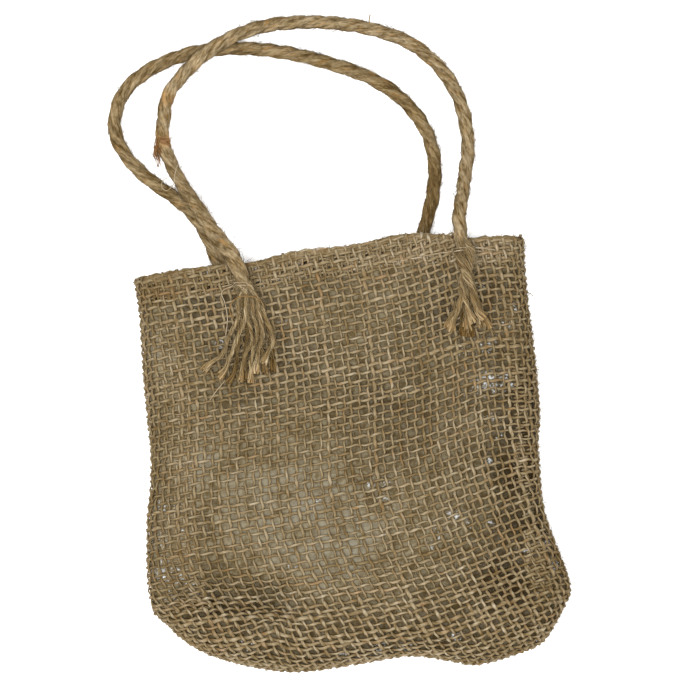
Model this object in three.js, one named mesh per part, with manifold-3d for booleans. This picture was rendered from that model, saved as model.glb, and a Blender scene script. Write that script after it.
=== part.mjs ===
// A small tote bag of open jute weave, lying on its back with its front wall up and its mouth
// towards +Y. A clear film lines it, and two rope handles lie slack past the mouth. Each rope is
// sewn to the outside of a wall and ends there in a fan of untwisted yarns.
// Millimetres, +Z up. The origin is on the surface, under the middle of the bag's outline.
import * as THREE from "three";
import { mergeVertices } from "three/addons/utils/BufferGeometryUtils.js";
import Module from "manifold-3d";

const wasm = await Module();
wasm.setup();

// Cloth and film
const CLOTH = 1.8; // thickness of the open weave
const HEM = 3.2; // thickness of the two layers of the hem
const HEM_DEPTH = 12; // how far the hem is turned in below the rim
const FILM = 1.0; // thickness of the film liner
const FILM_GAP = 0.9; // between the film and the cloth
const CLEARANCE = 0.4; // between other pieces that lie on one another

// Rope
const ROPE = 5.8; // across the strands
const ROPE_STRANDS = 3;
const ROPE_LAY = 18; // length of one turn of the strands
const GROOVE = 0.75; // depth of the grooves between strands
const ROPE_SIDES = 9;
const STEPS_PER_TURN = 6;

// Yarns of the frayed ends
const YARN = 1.5; // side of a yarn's square section
const YARN_STEPS = 4;
const HEAD_LENGTH = 7; // where the yarns are still held together
const HEAD_WIDTH = 6.4;
const HEAD_SIDES = 10;
const ROOT_WIDTH = 3.5; // over which the yarns start, inside the head
const ROOT_SHARE = 0.35; // of its final turn, that a yarn has at its root
const SETTLED = 0.6; // way along a yarn by which it has come down to rest
const LAYER_RISE = 1.35; // of the upper layer of yarns over the lower one, at the roots
const LAYER_SINK = 0.4; // share of that rise that is lost by the tips
const LENGTH_CYCLE = 5; // the yarns' lengths repeat after this many

// The outline as it lies, seen from above. Rows run left to right, or from the mouth down.
const RIM = [
  { x: -83, y: 79.7 },
  { x: -63, y: 81.8 },
  { x: -43, y: 83.1 },
  { x: -33, y: 82.9 },
  { x: -13, y: 86.0 },
  { x: 6, y: 86.3 },
  { x: 27, y: 89.2 },
  { x: 42, y: 88.2 },
  { x: 56, y: 86.1 },
  { x: 66, y: 86.9 },
  { x: 79, y: 84.6 },
];
const BOTTOM = [
  { x: -85.3, y: -57.5 },
  { x: -79.4, y: -63.5 },
  { x: -72, y: -70.9 },
  { x: -62, y: -77.2 },
  { x: -45, y: -83.2 },
  { x: -27, y: -86.4 },
  { x: -4, y: -85.3 },
  { x: 17, y: -83.5 },
  { x: 32, y: -86.1 },
  { x: 45, y: -89.2 },
  { x: 62, y: -86.2 },
  { x: 73, y: -82.0 },
  { x: 80.4, y: -72.5 },
  { x: 86.0, y: -63.5 },
];
const LEFT = [
  { x: -83, y: 79.7 },
  { x: -81.6, y: 66 },
  { x: -82.1, y: 38 },
  { x: -81.5, y: 10 },
  { x: -82.6, y: -6 },
  { x: -85.0, y: -19 },
  { x: -86.6, y: -44 },
  { x: -85.3, y: -57.5 },
];
const RIGHT = [
  { x: 79, y: 84.6 },
  { x: 78.3, y: 65 },
  { x: 79.5, y: 38 },
  { x: 79.9, y: 14 },
  { x: 78.1, y: -2 },
  { x: 78.0, y: -22 },
  { x: 79.5, y: -33 },
  { x: 83.2, y: -46 },
  { x: 86.3, y: -57 },
  { x: 86.0, y: -63.5 },
];

// Sections from the mouth (0) to the bottom (1): thickness of the bag, height of its side folds,
// and how far in from a side the front wall takes to rise to its full height.
const SECTIONS = [
  { way: 0.0, depth: 15.5, fold: 6.5, slope: 9 },
  { way: 0.2, depth: 16.5, fold: 6.5, slope: 10 },
  { way: 0.45, depth: 20, fold: 8, slope: 14 },
  { way: 0.7, depth: 24, fold: 10.5, slope: 19 },
  { way: 0.88, depth: 29, fold: 12.5, slope: 24 },
  { way: 1.0, depth: 29, fold: 12.5, slope: 24 },
];
const BACK_ROUND = 1.1; // width of the back wall's rounded side, for each millimetre of fold height
const BOTTOM_ROLL = { front: 26, back: 13 }; // how far in from the bottom the walls round over

// Creases and swellings of the front wall: a line, how wide it is to each side, and its height.
const CREASES = [
  { x0: -76, y0: -48, x1: -34, y1: -56, wide: 6.5, height: -8 }, // valley over the bottom roll
  { x0: -34, y0: -56, x1: 30, y1: -58, wide: 7, height: -3 }, // its shallow end
  { x0: 30, y0: -37, x1: 57, y1: -14, wide: 8, height: 3 }, // ridge up to the right side
  { x0: -7, y0: 12, x1: 40, y1: 28, wide: 11, height: -1.3 }, // dip across the middle
  { x0: 62, y0: 20, x1: 66, y1: -14, wide: 9, height: -2.2 }, // dip beside the right side
  { x0: -40, y0: 0, x1: -46, y1: -26, wide: 15, height: 2 }, // swelling on the left
  { x0: 44, y0: -64, x1: 66, y1: -50, wide: 8, height: -4 }, // hollow in the right corner
];

// The back handle's two ends lie under the back wall and lift it off the surface.
const LIFT_ENDS = [-44, 37];
const LIFT_FULL = 15; // to each side of an end the wall keeps its whole lift
const LIFT_FADE = 62; // and this far out it is down again
const LIFTS = [
  { y: -4, height: 0 },
  { y: 8, height: 0.3 },
  { y: 26, height: 3.1 },
  { y: 46, height: 3.7 },
  { y: 62, height: 6.2 },
  { y: 90, height: 6.3 },
];

// Routes of the handles' centre lines, from the left end to the right one.
const FRONT_HANDLE = [
  { x: -36.5, y: 71.0, z: 25.8 },
  { x: -37.9, y: 77.4, z: 25.9 },
  { x: -40.8, y: 85.2, z: 25.7 },
  { x: -48.0, y: 96.2, z: 20.4 },
  { x: -53.8, y: 106.7, z: 11.5 },
  { x: -60.0, y: 117.4, z: 5.4 },
  { x: -63.9, y: 126.6, z: 3.2 },
  { x: -66.3, y: 136.0, z: 3.0 },
  { x: -65.2, y: 144.5, z: 3.2 },
  { x: -62.5, y: 153.7, z: 5.6 },
  { x: -55.8, y: 161.3, z: 8.1 },
  { x: -46.0, y: 169.2, z: 9.2 },
  { x: -33.8, y: 175.6, z: 8.0 },
  { x: -20.0, y: 179.2, z: 4.8 },
  { x: -6.1, y: 179.7, z: 3.1 },
  { x: 10.2, y: 177.8, z: 3.0 },
  { x: 24.5, y: 174.0, z: 3.0 },
  { x: 39.2, y: 167.0, z: 3.0 },
  { x: 50.7, y: 155.2, z: 3.0 },
  { x: 56.6, y: 143.2, z: 3.0 },
  { x: 58.7, y: 131.2, z: 3.1 },
  { x: 58.6, y: 122.0, z: 5.0 },
  { x: 56.5, y: 112.6, z: 10.2 },
  { x: 54.2, y: 102.5, z: 17.0 },
  { x: 52.2, y: 94.0, z: 22.6 },
  { x: 52.2, y: 86.6, z: 25.0 },
  { x: 52.9, y: 78.6, z: 25.3 },
];
const BACK_HANDLE = [
  { x: -41.4, y: 68.0, z: 3.0 },
  { x: -44.5, y: 76.2, z: 3.0 },
  { x: -47.7, y: 85.8, z: 3.0 },
  { x: -50.6, y: 94.0, z: 3.0 },
  { x: -56.0, y: 104.3, z: 3.0 },
  { x: -63.8, y: 112.1, z: 3.0 },
  { x: -72.0, y: 119.0, z: 3.0 },
  { x: -78.8, y: 126.2, z: 3.0 },
  { x: -83.4, y: 133.4, z: 3.0 },
  { x: -85.6, y: 141.1, z: 3.0 },
  { x: -84.4, y: 149.4, z: 3.0 },
  { x: -79.6, y: 157.8, z: 3.0 },
  { x: -70.4, y: 164.5, z: 3.0 },
  { x: -56.4, y: 169.6, z: 3.0 },
  { x: -41.7, y: 171.3, z: 3.0 },
  { x: -27.3, y: 170.4, z: 3.0 },
  { x: -11.0, y: 167.1, z: 3.0 },
  { x: 5.0, y: 161.7, z: 3.0 },
  { x: 19.5, y: 155.3, z: 3.0 },
  { x: 30.8, y: 147.2, z: 3.0 },
  { x: 38.3, y: 138.3, z: 3.0 },
  { x: 42.8, y: 128.9, z: 3.0 },
  { x: 44.5, y: 118.9, z: 3.0 },
  { x: 43.8, y: 109.6, z: 3.0 },
  { x: 41.6, y: 100.2, z: 3.0 },
  { x: 38.6, y: 92.0, z: 3.0 },
  { x: 36.9, y: 84.4, z: 3.0 },
  { x: 36.8, y: 76.0, z: 3.0 },
];

// Frayed ends: which end of which handle, where the fan heads (degrees left of straight down),
// how wide it opens, how many yarns it has, and their shortest and longest length.
const FRAYED_ENDS = [
  { handle: "front", side: "left", heading: 9, spread: 52, yarns: 10, short: 24, long: 33 },
  { handle: "front", side: "right", heading: 2, spread: 40, yarns: 9, short: 23, long: 27 },
  { handle: "back", side: "left", heading: -8, spread: 36, yarns: 9, short: 24, long: 30 },
  { handle: "back", side: "right", heading: -4, spread: 36, yarns: 9, short: 24, long: 30 },
];
const FRONT_REST = 0.8; // of the front yarns over the rounded wall
const BACK_REST = 0.1; // of the back yarns over the flat surface

// Grid of the walls
const EDGE_STEPS = 4; // across the rounded strip at a fold
const BOTTOM_STEPS = 5; // across the bottom roll
const MIDDLE_COLUMNS = 12;
const MIDDLE_ROWS = 14;
const HEM_ROWS = 3;
const STEP_AT_HEM = 0.6; // height of the ledge under the hem
const WHOLE = Math.PI / 2; // where a rounded strip has risen to the full height
const SEARCH_ROUNDS = 12; // to find a place in the outline's own grid
const WELD = 1e-4; // points nearer than this are one
const NO_AREA = 1e-6;

const outline = {
  rim: edgeCurve(RIM),
  bottom: edgeCurve(BOTTOM),
  left: edgeCurve(LEFT),
  right: edgeCurve(RIGHT),
};
const sections = columnSpline(SECTIONS, "way", ["depth", "fold", "slope"]);
const lifts = columnSpline(LIFTS, "y", ["height"]);

function edgeCurve(rows) {
  return new THREE.SplineCurve(rows.map((row) => new THREE.Vector2(row.x, row.y)));
}

// A smooth curve through the rows of a table, as a function from one column to the others.
function columnSpline(rows, by, columns) {
  const places = rows.map((row) => row[by]);
  const values = rows.flatMap((row) => columns.map((column) => row[column]));
  const spline = new THREE.CubicInterpolant(places, values, columns.length);
  return (at) => {
    const found = spline.evaluate(THREE.MathUtils.clamp(at, places[0], places.at(-1)));
    return Object.fromEntries(columns.map((column, index) => [column, found[index]]));
  };
}

// A point of the outline's own grid: across from left (0) to right (1), down from rim to bottom.
function plan(across, down) {
  const rim = outline.rim.getPointAt(across);
  const bottom = outline.bottom.getPointAt(across);
  const left = outline.left.getPointAt(down);
  const right = outline.right.getPointAt(down);
  const corner = (axis) =>
    (1 - across) * ((1 - down) * RIM[0][axis] + down * BOTTOM[0][axis]) +
    across * ((1 - down) * RIM.at(-1)[axis] + down * BOTTOM.at(-1)[axis]);
  const mixed = (axis) =>
    (1 - down) * rim[axis] + down * bottom[axis] + (1 - across) * left[axis] + across * right[axis];
  return new THREE.Vector2(mixed("x") - corner("x"), mixed("y") - corner("y"));
}

function widthAt(down) {
  return outline.left.getPointAt(down).distanceTo(outline.right.getPointAt(down));
}

function heightAt(across) {
  return outline.rim.getPointAt(across).distanceTo(outline.bottom.getPointAt(across));
}

function creaseHeight(x, y) {
  const point = new THREE.Vector3(x, y, 0);
  const nearest = new THREE.Vector3();
  let height = 0;
  for (const crease of CREASES) {
    const line = new THREE.Line3(
      new THREE.Vector3(crease.x0, crease.y0, 0),
      new THREE.Vector3(crease.x1, crease.y1, 0),
    );
    line.closestPointToPoint(point, true, nearest);
    height += crease.height * Math.exp(-((nearest.distanceTo(point) / crease.wide) ** 2));
  }
  return height;
}

function liftHeight(x, y) {
  let share = 0;
  for (const end of LIFT_ENDS) {
    share += 1 - THREE.MathUtils.smoothstep(Math.abs(x - end), LIFT_FULL, LIFT_FADE);
  }
  return Math.min(share, 1) * Math.max(lifts(y).height, 0);
}

// Stations across a wall: a rounded strip at each side fold, and even columns between them.
function columnStations() {
  const stations = [];
  for (let step = 0; step < EDGE_STEPS; step++) {
    stations.push({ strip: "left", share: 0, angle: (WHOLE * step) / EDGE_STEPS });
  }
  for (let step = 0; step <= MIDDLE_COLUMNS; step++) {
    stations.push({ strip: "middle", share: step / MIDDLE_COLUMNS, angle: WHOLE });
  }
  for (let step = EDGE_STEPS - 1; step >= 0; step--) {
    stations.push({ strip: "right", share: 1, angle: (WHOLE * step) / EDGE_STEPS });
  }
  return stations;
}

// Stations down a wall: the hem, even rows from the first drop on, and the rounded strip at the bottom.
function rowStations(firstDrop, withHem) {
  const stations = [];
  for (let step = 0; withHem && step <= HEM_ROWS; step++) {
    stations.push({ strip: "hem", drop: (HEM_DEPTH * step) / HEM_ROWS, hem: true, angle: WHOLE });
  }
  for (let step = 0; step <= MIDDLE_ROWS; step++) {
    stations.push({ strip: "middle", drop: firstDrop, share: step / MIDDLE_ROWS, angle: WHOLE });
  }
  for (let step = BOTTOM_STEPS - 1; step >= 0; step--) {
    stations.push({ strip: "bottom", angle: (WHOLE * step) / BOTTOM_STEPS });
  }
  return stations;
}

// A point of a wall's face that lies inset from the wall's outer face. The two walls' grids draw
// together towards the folds, so that they share the points there.
function wallPoint(wall, column, row, insets) {
  const inset = row.hem ? insets.hem : insets.wall;
  const isFront = wall === "front";
  const rounded = (width, angle) => inset + (width - inset) * (1 - Math.cos(angle));
  const towards = (front, back, angle) =>
    THREE.MathUtils.lerp((front + back) / 2, isFront ? front : back, Math.sin(angle));
  const length = heightAt(column.share);
  const roll = towards(BOTTOM_ROLL.front, BOTTOM_ROLL.back, column.angle);
  let drop = row.drop;
  if (row.strip === "middle") drop = THREE.MathUtils.lerp(row.drop, length - roll, row.share);
  if (row.strip === "bottom") drop = length - rounded(roll, row.angle);
  const down = drop / length;
  const section = sections(down);
  const width = widthAt(down);
  const slope = towards(section.slope, section.fold * BACK_ROUND, row.angle);
  let across = THREE.MathUtils.lerp(slope, width - slope, column.share) / width;
  if (column.strip === "left") across = rounded(slope, column.angle) / width;
  if (column.strip === "right") across = 1 - rounded(slope, column.angle) / width;
  const { x, y } = plan(across, down);
  const full = Math.sin(column.angle) * Math.sin(row.angle);
  const rise = isFront ? section.depth - section.fold - inset : inset - section.fold;
  const crease = isFront ? creaseHeight(x, y) * full : 0;
  return new THREE.Vector3(x, y, section.fold + rise * full + crease + liftHeight(x, y));
}

// Height of the front wall's outer face over a place on the surface.
function frontHeight(x, y) {
  let across = 0.5;
  let down = 0.5;
  for (let round = 0; round < SEARCH_ROUNDS; round++) {
    const reached = plan(across, down);
    across += (x - reached.x) / widthAt(down);
    down -= (y - reached.y) / heightAt(across);
  }
  return sections(down).depth + creaseHeight(x, y) + liftHeight(x, y);
}

// Triangles of a grid of points. Flipped, they face the other way.
function gridFaces(points, flipped) {
  const faces = [];
  for (let j = 0; j + 1 < points.length; j++) {
    for (let i = 0; i + 1 < points[j].length; i++) {
      const [a, b] = [points[j][i], points[j][i + 1]];
      const [c, d] = [points[j + 1][i], points[j + 1][i + 1]];
      faces.push(...(flipped ? [a, b, c, b, d, c] : [a, c, b, b, c, d]));
    }
  }
  return faces;
}

function closedGeometry(points) {
  const geometry = new THREE.BufferGeometry().setFromPoints(points);
  const merged = mergeVertices(geometry, WELD);
  merged.computeVertexNormals();
  return merged;
}

// A bag-shaped shell, open at the mouth: an outer and an inner skin, joined around the rim.
function bagShell(rows, outer, inner) {
  const columns = columnStations();
  const skin = (wall, insets) =>
    rows.map((row) => columns.map((column) => wallPoint(wall, column, row, insets)));
  const front = { outer: skin("front", outer), inner: skin("front", inner) };
  const back = { outer: skin("back", outer), inner: skin("back", inner) };
  return closedGeometry([
    ...gridFaces(front.outer, false),
    ...gridFaces(back.outer, true),
    ...gridFaces(front.inner, true),
    ...gridFaces(back.inner, false),
    ...gridFaces([front.outer[0], front.inner[0]], true),
    ...gridFaces([back.outer[0], back.inner[0]], false),
  ]);
}

function bagCloth() {
  const rows = rowStations(HEM_DEPTH + STEP_AT_HEM, true);
  return bagShell(rows, { hem: 0, wall: 0 }, { hem: HEM, wall: CLOTH });
}

// The film starts under the hem's ledge and follows the cloth all the way down.
function filmLiner() {
  const rows = rowStations(HEM_DEPTH + STEP_AT_HEM + CLEARANCE, false);
  const face = CLOTH + FILM_GAP;
  return bagShell(rows, { wall: face }, { wall: face + FILM });
}

function handleCurve(route) {
  return new THREE.CatmullRomCurve3(route.map((row) => new THREE.Vector3(row.x, row.y, row.z)));
}

// A twisted rope: a lobed section that turns as it follows the route.
function ropeGeometry(curve) {
  const length = curve.getLength();
  const steps = Math.round((length / ROPE_LAY) * STEPS_PER_TURN);
  const frames = curve.computeFrenetFrames(steps, false);
  const rings = [];
  for (let step = 0; step <= steps; step++) {
    const centre = curve.getPointAt(step / steps);
    const turn = (-2 * Math.PI * step) / STEPS_PER_TURN;
    const ring = [];
    for (let side = 0; side <= ROPE_SIDES; side++) {
      const angle = (2 * Math.PI * (side % ROPE_SIDES)) / ROPE_SIDES;
      const lobe = Math.abs(Math.cos((ROPE_STRANDS / 2) * (angle - turn)));
      const radius = ROPE / 2 - GROOVE * (1 - lobe);
      ring.push(
        centre
          .clone()
          .addScaledVector(frames.normals[step], radius * Math.cos(angle))
          .addScaledVector(frames.binormals[step], radius * Math.sin(angle)),
      );
    }
    rings.push(ring);
  }
  const tips = [curve.getPointAt(0), curve.getPointAt(1)].map((tip) => new Array(ROPE_SIDES + 1).fill(tip));
  return closedGeometry(withoutSlivers(gridFaces([tips[0], ...rings, tips[1]], true)));
}

// Leaves out the triangles that a fan's shared tip makes of no area.
function withoutSlivers(points) {
  const kept = [];
  for (let corner = 0; corner < points.length; corner += 3) {
    const [a, b, c] = points.slice(corner, corner + 3);
    if (new THREE.Triangle(a, b, c).getArea() > NO_AREA) kept.push(a, b, c);
  }
  return kept;
}

function solid(geometry) {
  const bare = geometry.clone();
  bare.deleteAttribute("normal");
  bare.deleteAttribute("uv");
  const merged = mergeVertices(bare, WELD);
  return new wasm.Manifold(
    new wasm.Mesh({
      numProp: 3,
      vertProperties: new Float32Array(merged.attributes.position.array),
      triVerts: new Uint32Array(merged.index.array),
    }),
  );
}

function geometryOf(manifold) {
  const mesh = manifold.getMesh();
  const geometry = new THREE.BufferGeometry();
  geometry.setAttribute("position", new THREE.BufferAttribute(mesh.vertProperties, 3));
  geometry.setIndex(new THREE.BufferAttribute(mesh.triVerts, 1));
  geometry.computeVertexNormals();
  return geometry;
}

// The head of a frayed end: where the stitching still holds the rope's yarns in a round bundle.
function frayedHead(start, direction) {
  const profile = [
    new THREE.Vector2(0, 0),
    new THREE.Vector2(ROPE / 2 - GROOVE, 0),
    new THREE.Vector2(HEAD_WIDTH / 2 - GROOVE / 2, HEAD_LENGTH / 3),
    new THREE.Vector2(ROPE / 2 - GROOVE, HEAD_LENGTH),
    new THREE.Vector2(0, HEAD_LENGTH),
  ];
  const head = new THREE.LatheGeometry(profile, HEAD_SIDES);
  head.applyQuaternion(new THREE.Quaternion().setFromUnitVectors(new THREE.Vector3(0, 1, 0), direction));
  head.translate(start.x, start.y, start.z);
  return head;
}

// One yarn of a frayed end, from inside the head down to where it lies.
function frayedYarn(fan, root, yarn, restingHeight) {
  const share = yarn / (fan.yarns - 1) - 0.5;
  const turn = THREE.MathUtils.degToRad(fan.heading - fan.spread * share);
  const upper = yarn % 2;
  const cycle = ((yarn * 2) % LENGTH_CYCLE) / (LENGTH_CYCLE - 1);
  const length = THREE.MathUtils.lerp(fan.long, fan.short, cycle);
  const points = [];
  for (let step = 0; step <= YARN_STEPS; step++) {
    const way = step / YARN_STEPS;
    const heading = turn * Math.min(1, ROOT_SHARE + way);
    const x = root.x + share * ROOT_WIDTH * (1 - way) - Math.sin(heading) * length * way;
    const y = root.y - Math.cos(heading) * length * way;
    const rest = restingHeight(x, y) + YARN / 2 + upper * LAYER_RISE * (1 - LAYER_SINK * way);
    points.push(new THREE.Vector3(x, y, THREE.MathUtils.lerp(root.z, rest, Math.min(1, way / SETTLED))));
  }
  const half = YARN / 2;
  const corners = [[-half, -half], [half, -half], [half, half], [-half, half]];
  const section = new THREE.Shape(corners.map(([x, y]) => new THREE.Vector2(x, y)));
  const extrudePath = new THREE.CatmullRomCurve3(points);
  return new THREE.ExtrudeGeometry(section, { steps: YARN_STEPS + 1, extrudePath });
}

// A frayed end: its yarns leave the head in two layers, open into a fan and settle on what is below.
function frayedEnd(fan, curve) {
  const end = fan.side === "left" ? 0 : 1;
  const outward = curve.getTangentAt(end).multiplyScalar(end === 0 ? -1 : 1);
  const start = curve.getPointAt(end).addScaledVector(outward, CLEARANCE);
  const root = start.clone().addScaledVector(outward, HEAD_LENGTH / 2);
  const restingHeight = (x, y) => (fan.handle === "front" ? frontHeight(x, y) + FRONT_REST : BACK_REST);
  let joined = solid(frayedHead(start, outward));
  for (let yarn = 0; yarn < fan.yarns; yarn++) {
    joined = joined.add(solid(frayedYarn(fan, root, yarn, restingHeight)));
  }
  return geometryOf(joined);
}

function piece(name, geometry, look) {
  const mesh = new THREE.Mesh(geometry, new THREE.MeshStandardMaterial({ metalness: 0, ...look }));
  mesh.name = name;
  return mesh;
}

const handles = { front: handleCurve(FRONT_HANDLE), back: handleCurve(BACK_HANDLE) };
const bag = new THREE.Group();
bag.add(piece("bag_cloth", bagCloth(), { color: 0x8a7856, roughness: 0.92 }));
bag.add(piece("film_liner", filmLiner(), { color: 0xd8d8d2, roughness: 0.25 }));
bag.add(piece("handle_front", ropeGeometry(handles.front), { color: 0x90795a, roughness: 0.9 }));
bag.add(piece("handle_back", ropeGeometry(handles.back), { color: 0x8d7656, roughness: 0.9 }));
for (const fan of FRAYED_ENDS) {
  const name = `frayed_end_${fan.handle}_${fan.side}`;
  bag.add(piece(name, frayedEnd(fan, handles[fan.handle]), { color: 0x9a7f55, roughness: 0.95 }));
}

export default bag;
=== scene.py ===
# %% [markdown]
# A small tote bag of open jute weave lies on its back, front wall up, mouth towards +Y. A clear crinkled
# film lines it, and two twisted rope handles are sewn to its hem and lie slack past the mouth. The packed
# solids give every place and size. This lesson dresses them, so that each yarn, strand and frayed end
# becomes real geometry. Tables are in millimetres, meshes in metres.

import math

import bpy
import numpy as np
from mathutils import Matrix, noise


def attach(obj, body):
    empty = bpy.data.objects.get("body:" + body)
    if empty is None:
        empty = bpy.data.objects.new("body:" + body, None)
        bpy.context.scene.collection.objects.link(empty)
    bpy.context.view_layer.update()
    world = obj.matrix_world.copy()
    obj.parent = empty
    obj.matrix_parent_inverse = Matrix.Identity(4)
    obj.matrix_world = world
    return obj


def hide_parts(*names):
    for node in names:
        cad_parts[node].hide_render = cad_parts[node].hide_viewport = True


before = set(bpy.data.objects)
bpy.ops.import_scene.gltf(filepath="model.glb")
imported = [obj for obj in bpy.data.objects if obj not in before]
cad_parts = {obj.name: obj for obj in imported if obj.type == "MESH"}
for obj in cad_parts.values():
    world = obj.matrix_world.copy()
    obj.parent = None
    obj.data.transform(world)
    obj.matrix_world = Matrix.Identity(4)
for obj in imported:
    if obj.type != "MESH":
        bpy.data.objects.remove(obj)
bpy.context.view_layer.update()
MM = 0.001
dice = np.random.default_rng(41)
print("nodes:", sorted(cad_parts))

# %% [markdown]
# The photograph looks straight down at the bag, which is turned by a few degrees. The turn could be given
# to the bag, but a bag that keeps its own axes is easier to reuse, so the camera turns instead. A long lens
# from far above keeps the sides free of perspective.

# %% Camera
VIEW_CENTRE = (3.8, 43.6)
VIEW_WIDTH = 287.0
VIEW_TURN = math.radians(-4.5)
VIEW_HEIGHT = 1500.0
SHARP_PLANE = 9.0
SENSOR_WIDTH = 36.0

bpy.ops.object.select_all(action="DESELECT")
bpy.ops.object.camera_add(
    location=(VIEW_CENTRE[0] * MM, VIEW_CENTRE[1] * MM, VIEW_HEIGHT * MM),
    rotation=(0, 0, VIEW_TURN),
)
camera = bpy.context.object
camera.name = "photo_camera"
camera.data.sensor_width = SENSOR_WIDTH
camera.data.lens = SENSOR_WIDTH * (VIEW_HEIGHT - SHARP_PLANE) / VIEW_WIDTH
camera.data.clip_end = 20.0
bpy.context.scene.camera = camera
print("lens of", round(camera.data.lens), "mm")

# %% [markdown]
# Ropes, yarns, stitches and stray fibres are long thin things with a changing section. Curves with a bevel
# would draw them, but can't give each yarn its own tone or flatten it where it crosses another. So one
# helper turns centre lines into closed tubes and joins them into one mesh. Each tube has a UV map along its
# fibres, and two numbers that the materials read: a tone, which holds random changes and also painted
# light and shade, and how golden it is.

# %% Tubes from centre lines
UP = np.array([0.0, 0.0, 1.0])


def unit(vectors):
    return vectors / np.maximum(np.linalg.norm(vectors, axis=-1, keepdims=True), 1e-12)


def tangents_of(points):
    return unit(np.gradient(points, axis=0))


def run_lengths(points):
    steps = np.linalg.norm(np.diff(points, axis=0), axis=1)
    return np.concatenate([[0.0], np.cumsum(steps)])


def strand(points, upward, wide, high, tone=1.0, profile=None, gold=0.0):
    """One tube: its centre line, which way is up along it, and its width and height (all mm)."""
    count = len(points)
    forward = tangents_of(points)
    across = unit(np.cross(forward, upward))
    return {
        "points": points,
        "across": across,
        "upward": np.cross(across, forward),
        "wide": np.broadcast_to(wide, count) / 2,
        "high": np.broadcast_to(high, count) / 2,
        "tone": tone if np.ndim(tone) == 2 else np.broadcast_to(tone, count),
        "gold": gold if np.ndim(gold) == 2 else np.broadcast_to(gold, count),
        "along": run_lengths(points) + dice.uniform(0, 900),
        "profile": profile,
    }


def strand_rings(one, sides):
    turn = np.arange(sides) * 2 * np.pi / sides
    shape = np.ones(sides) if one["profile"] is None else one["profile"]
    sideways = one["wide"][:, None] * np.cos(turn) * shape
    upwards = one["high"][:, None] * np.sin(turn) * shape
    return (
        one["points"][:, None, :]
        + sideways[:, :, None] * one["across"][:, None, :]
        + upwards[:, :, None] * one["upward"][:, None, :]
    )


# %% Join tubes into one mesh
def tube_faces(first, rings, sides):
    ring = np.arange(rings - 1)[:, None]
    side = np.arange(sides)[None, :]
    after = (side + 1) % sides
    low = first + ring * sides
    high = low + sides
    return np.stack([low + side, high + side, high + after, low + after], -1).reshape(-1, 4)


def cap_faces(first, rings, sides):
    side = np.arange(sides)
    after = (side + 1) % sides
    last = first + (rings - 1) * sides
    tips = first + rings * sides
    start = np.stack([first + side, first + after, np.full(sides, tips)], -1)
    end = np.stack([last + after, last + side, np.full(sides, tips + 1)], -1)
    return np.concatenate([start, end])


def tube_uvs(along, sides):
    low = np.repeat(along[:-1], sides)
    high = np.repeat(along[1:], sides)
    near = np.tile(np.arange(sides) / sides, len(along) - 1)
    far = near + 1 / sides
    corners = [(low, near), (high, near), (high, far), (low, far)]
    return np.stack([np.stack(corner, -1) for corner in corners], 1).reshape(-1, 2)


def cap_uvs(along, sides):
    ends = np.concatenate([np.full(sides, along[0]), np.full(sides, along[-1])])
    around = np.tile(np.arange(sides) / sides, 2)
    return np.repeat(np.stack([ends, around], -1), 3, axis=0)


# %% Pieces from tubes
piece_strands = {}


def mesh_piece(name, places, faces):
    """A smooth object at the origin, from places in millimetres."""
    mesh = bpy.data.meshes.new(name)
    mesh.from_pydata((places * MM).tolist(), [], faces)
    mesh.polygons.foreach_set("use_smooth", np.ones(len(mesh.polygons), bool))
    mesh.update()
    piece = bpy.data.objects.new(name, mesh)
    bpy.context.scene.collection.objects.link(piece)
    return piece


def paint(piece, name, values):
    """Gives each vertex a number that a material reads."""
    layer = piece.data.attributes.new(name, "FLOAT", "POINT")
    layer.data.foreach_set("value", np.asarray(values, np.float32))


def tube_piece(name, strands, sides, jute, node=None):
    """Joins tubes of one kind into one closed piece on the bag's only body, and remembers the tubes."""
    piece_strands[name] = strands
    places, quads, caps, quad_uvs, cap_uv_rows = [], [], [], [], []
    layers = {"tone": [], "gold": []}
    first = 0
    for one in strands:
        rings = len(one["points"])
        places += [strand_rings(one, sides).reshape(-1, 3), one["points"][[0, -1]]]
        for label, values in layers.items():
            rows = one[label] if one[label].ndim == 2 else np.repeat(one[label][:, None], sides, axis=1)
            values += [rows.ravel(), rows[[0, -1]].mean(axis=1)]
        quads.append(tube_faces(first, rings, sides))
        caps.append(cap_faces(first, rings, sides))
        quad_uvs.append(tube_uvs(one["along"], sides))
        cap_uv_rows.append(cap_uvs(one["along"], sides))
        first += rings * sides + 2
    faces = np.concatenate(quads).tolist() + np.concatenate(caps).tolist()
    piece = mesh_piece(name, np.concatenate(places), faces)
    uvs = np.concatenate(quad_uvs + cap_uv_rows).astype(np.float32)
    piece.data.uv_layers.new(name="fibre").data.foreach_set("uv", uvs.ravel())
    for label, values in layers.items():
        paint(piece, label, np.concatenate(values))
    piece.data.materials.append(jute)
    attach(piece, "root")
    if node:
        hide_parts(node)
    print(name, len(strands), "tubes,", len(faces), "faces")
    return piece


# %% [markdown]
# Jute looks the same in yarn, rope and cloth: fine fibres run along it, pale where they catch the light and
# brown in between, with slow patches of colour and some golden or reddish fibres. The pale and brown follow
# the fibres' relief, so they are partly the fibres' own colour and partly a painted highlight on the high
# fibres and painted shade in the hollows. One node group makes that colour, and each material sets its own
# shades and fibre sizes. The pattern reads the tubes' own UV map, so it follows each yarn round every bend.

# %% Helpers for shader nodes
# places of the sockets of a mix node that mixes colours
MIX_SHARE, MIX_FIRST, MIX_SECOND, MIX_RESULT = 0, 6, 7, 2


def feed(tree, socket, value):
    """Gives a socket a number or a colour, or links another socket to it."""
    if isinstance(value, bpy.types.NodeSocket):
        tree.links.new(value, socket)
    else:
        socket.default_value = value


def add_node(tree, kind, given=(), **settings):
    node = tree.nodes.new(kind)
    for name, value in settings.items():
        setattr(node, name, value)
    for name, value in dict(given).items():
        feed(tree, node.inputs[name], value)
    return node


def add_math(tree, operation, *values):
    return add_node(tree, "ShaderNodeMath", enumerate(values), operation=operation).outputs[0]


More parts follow.
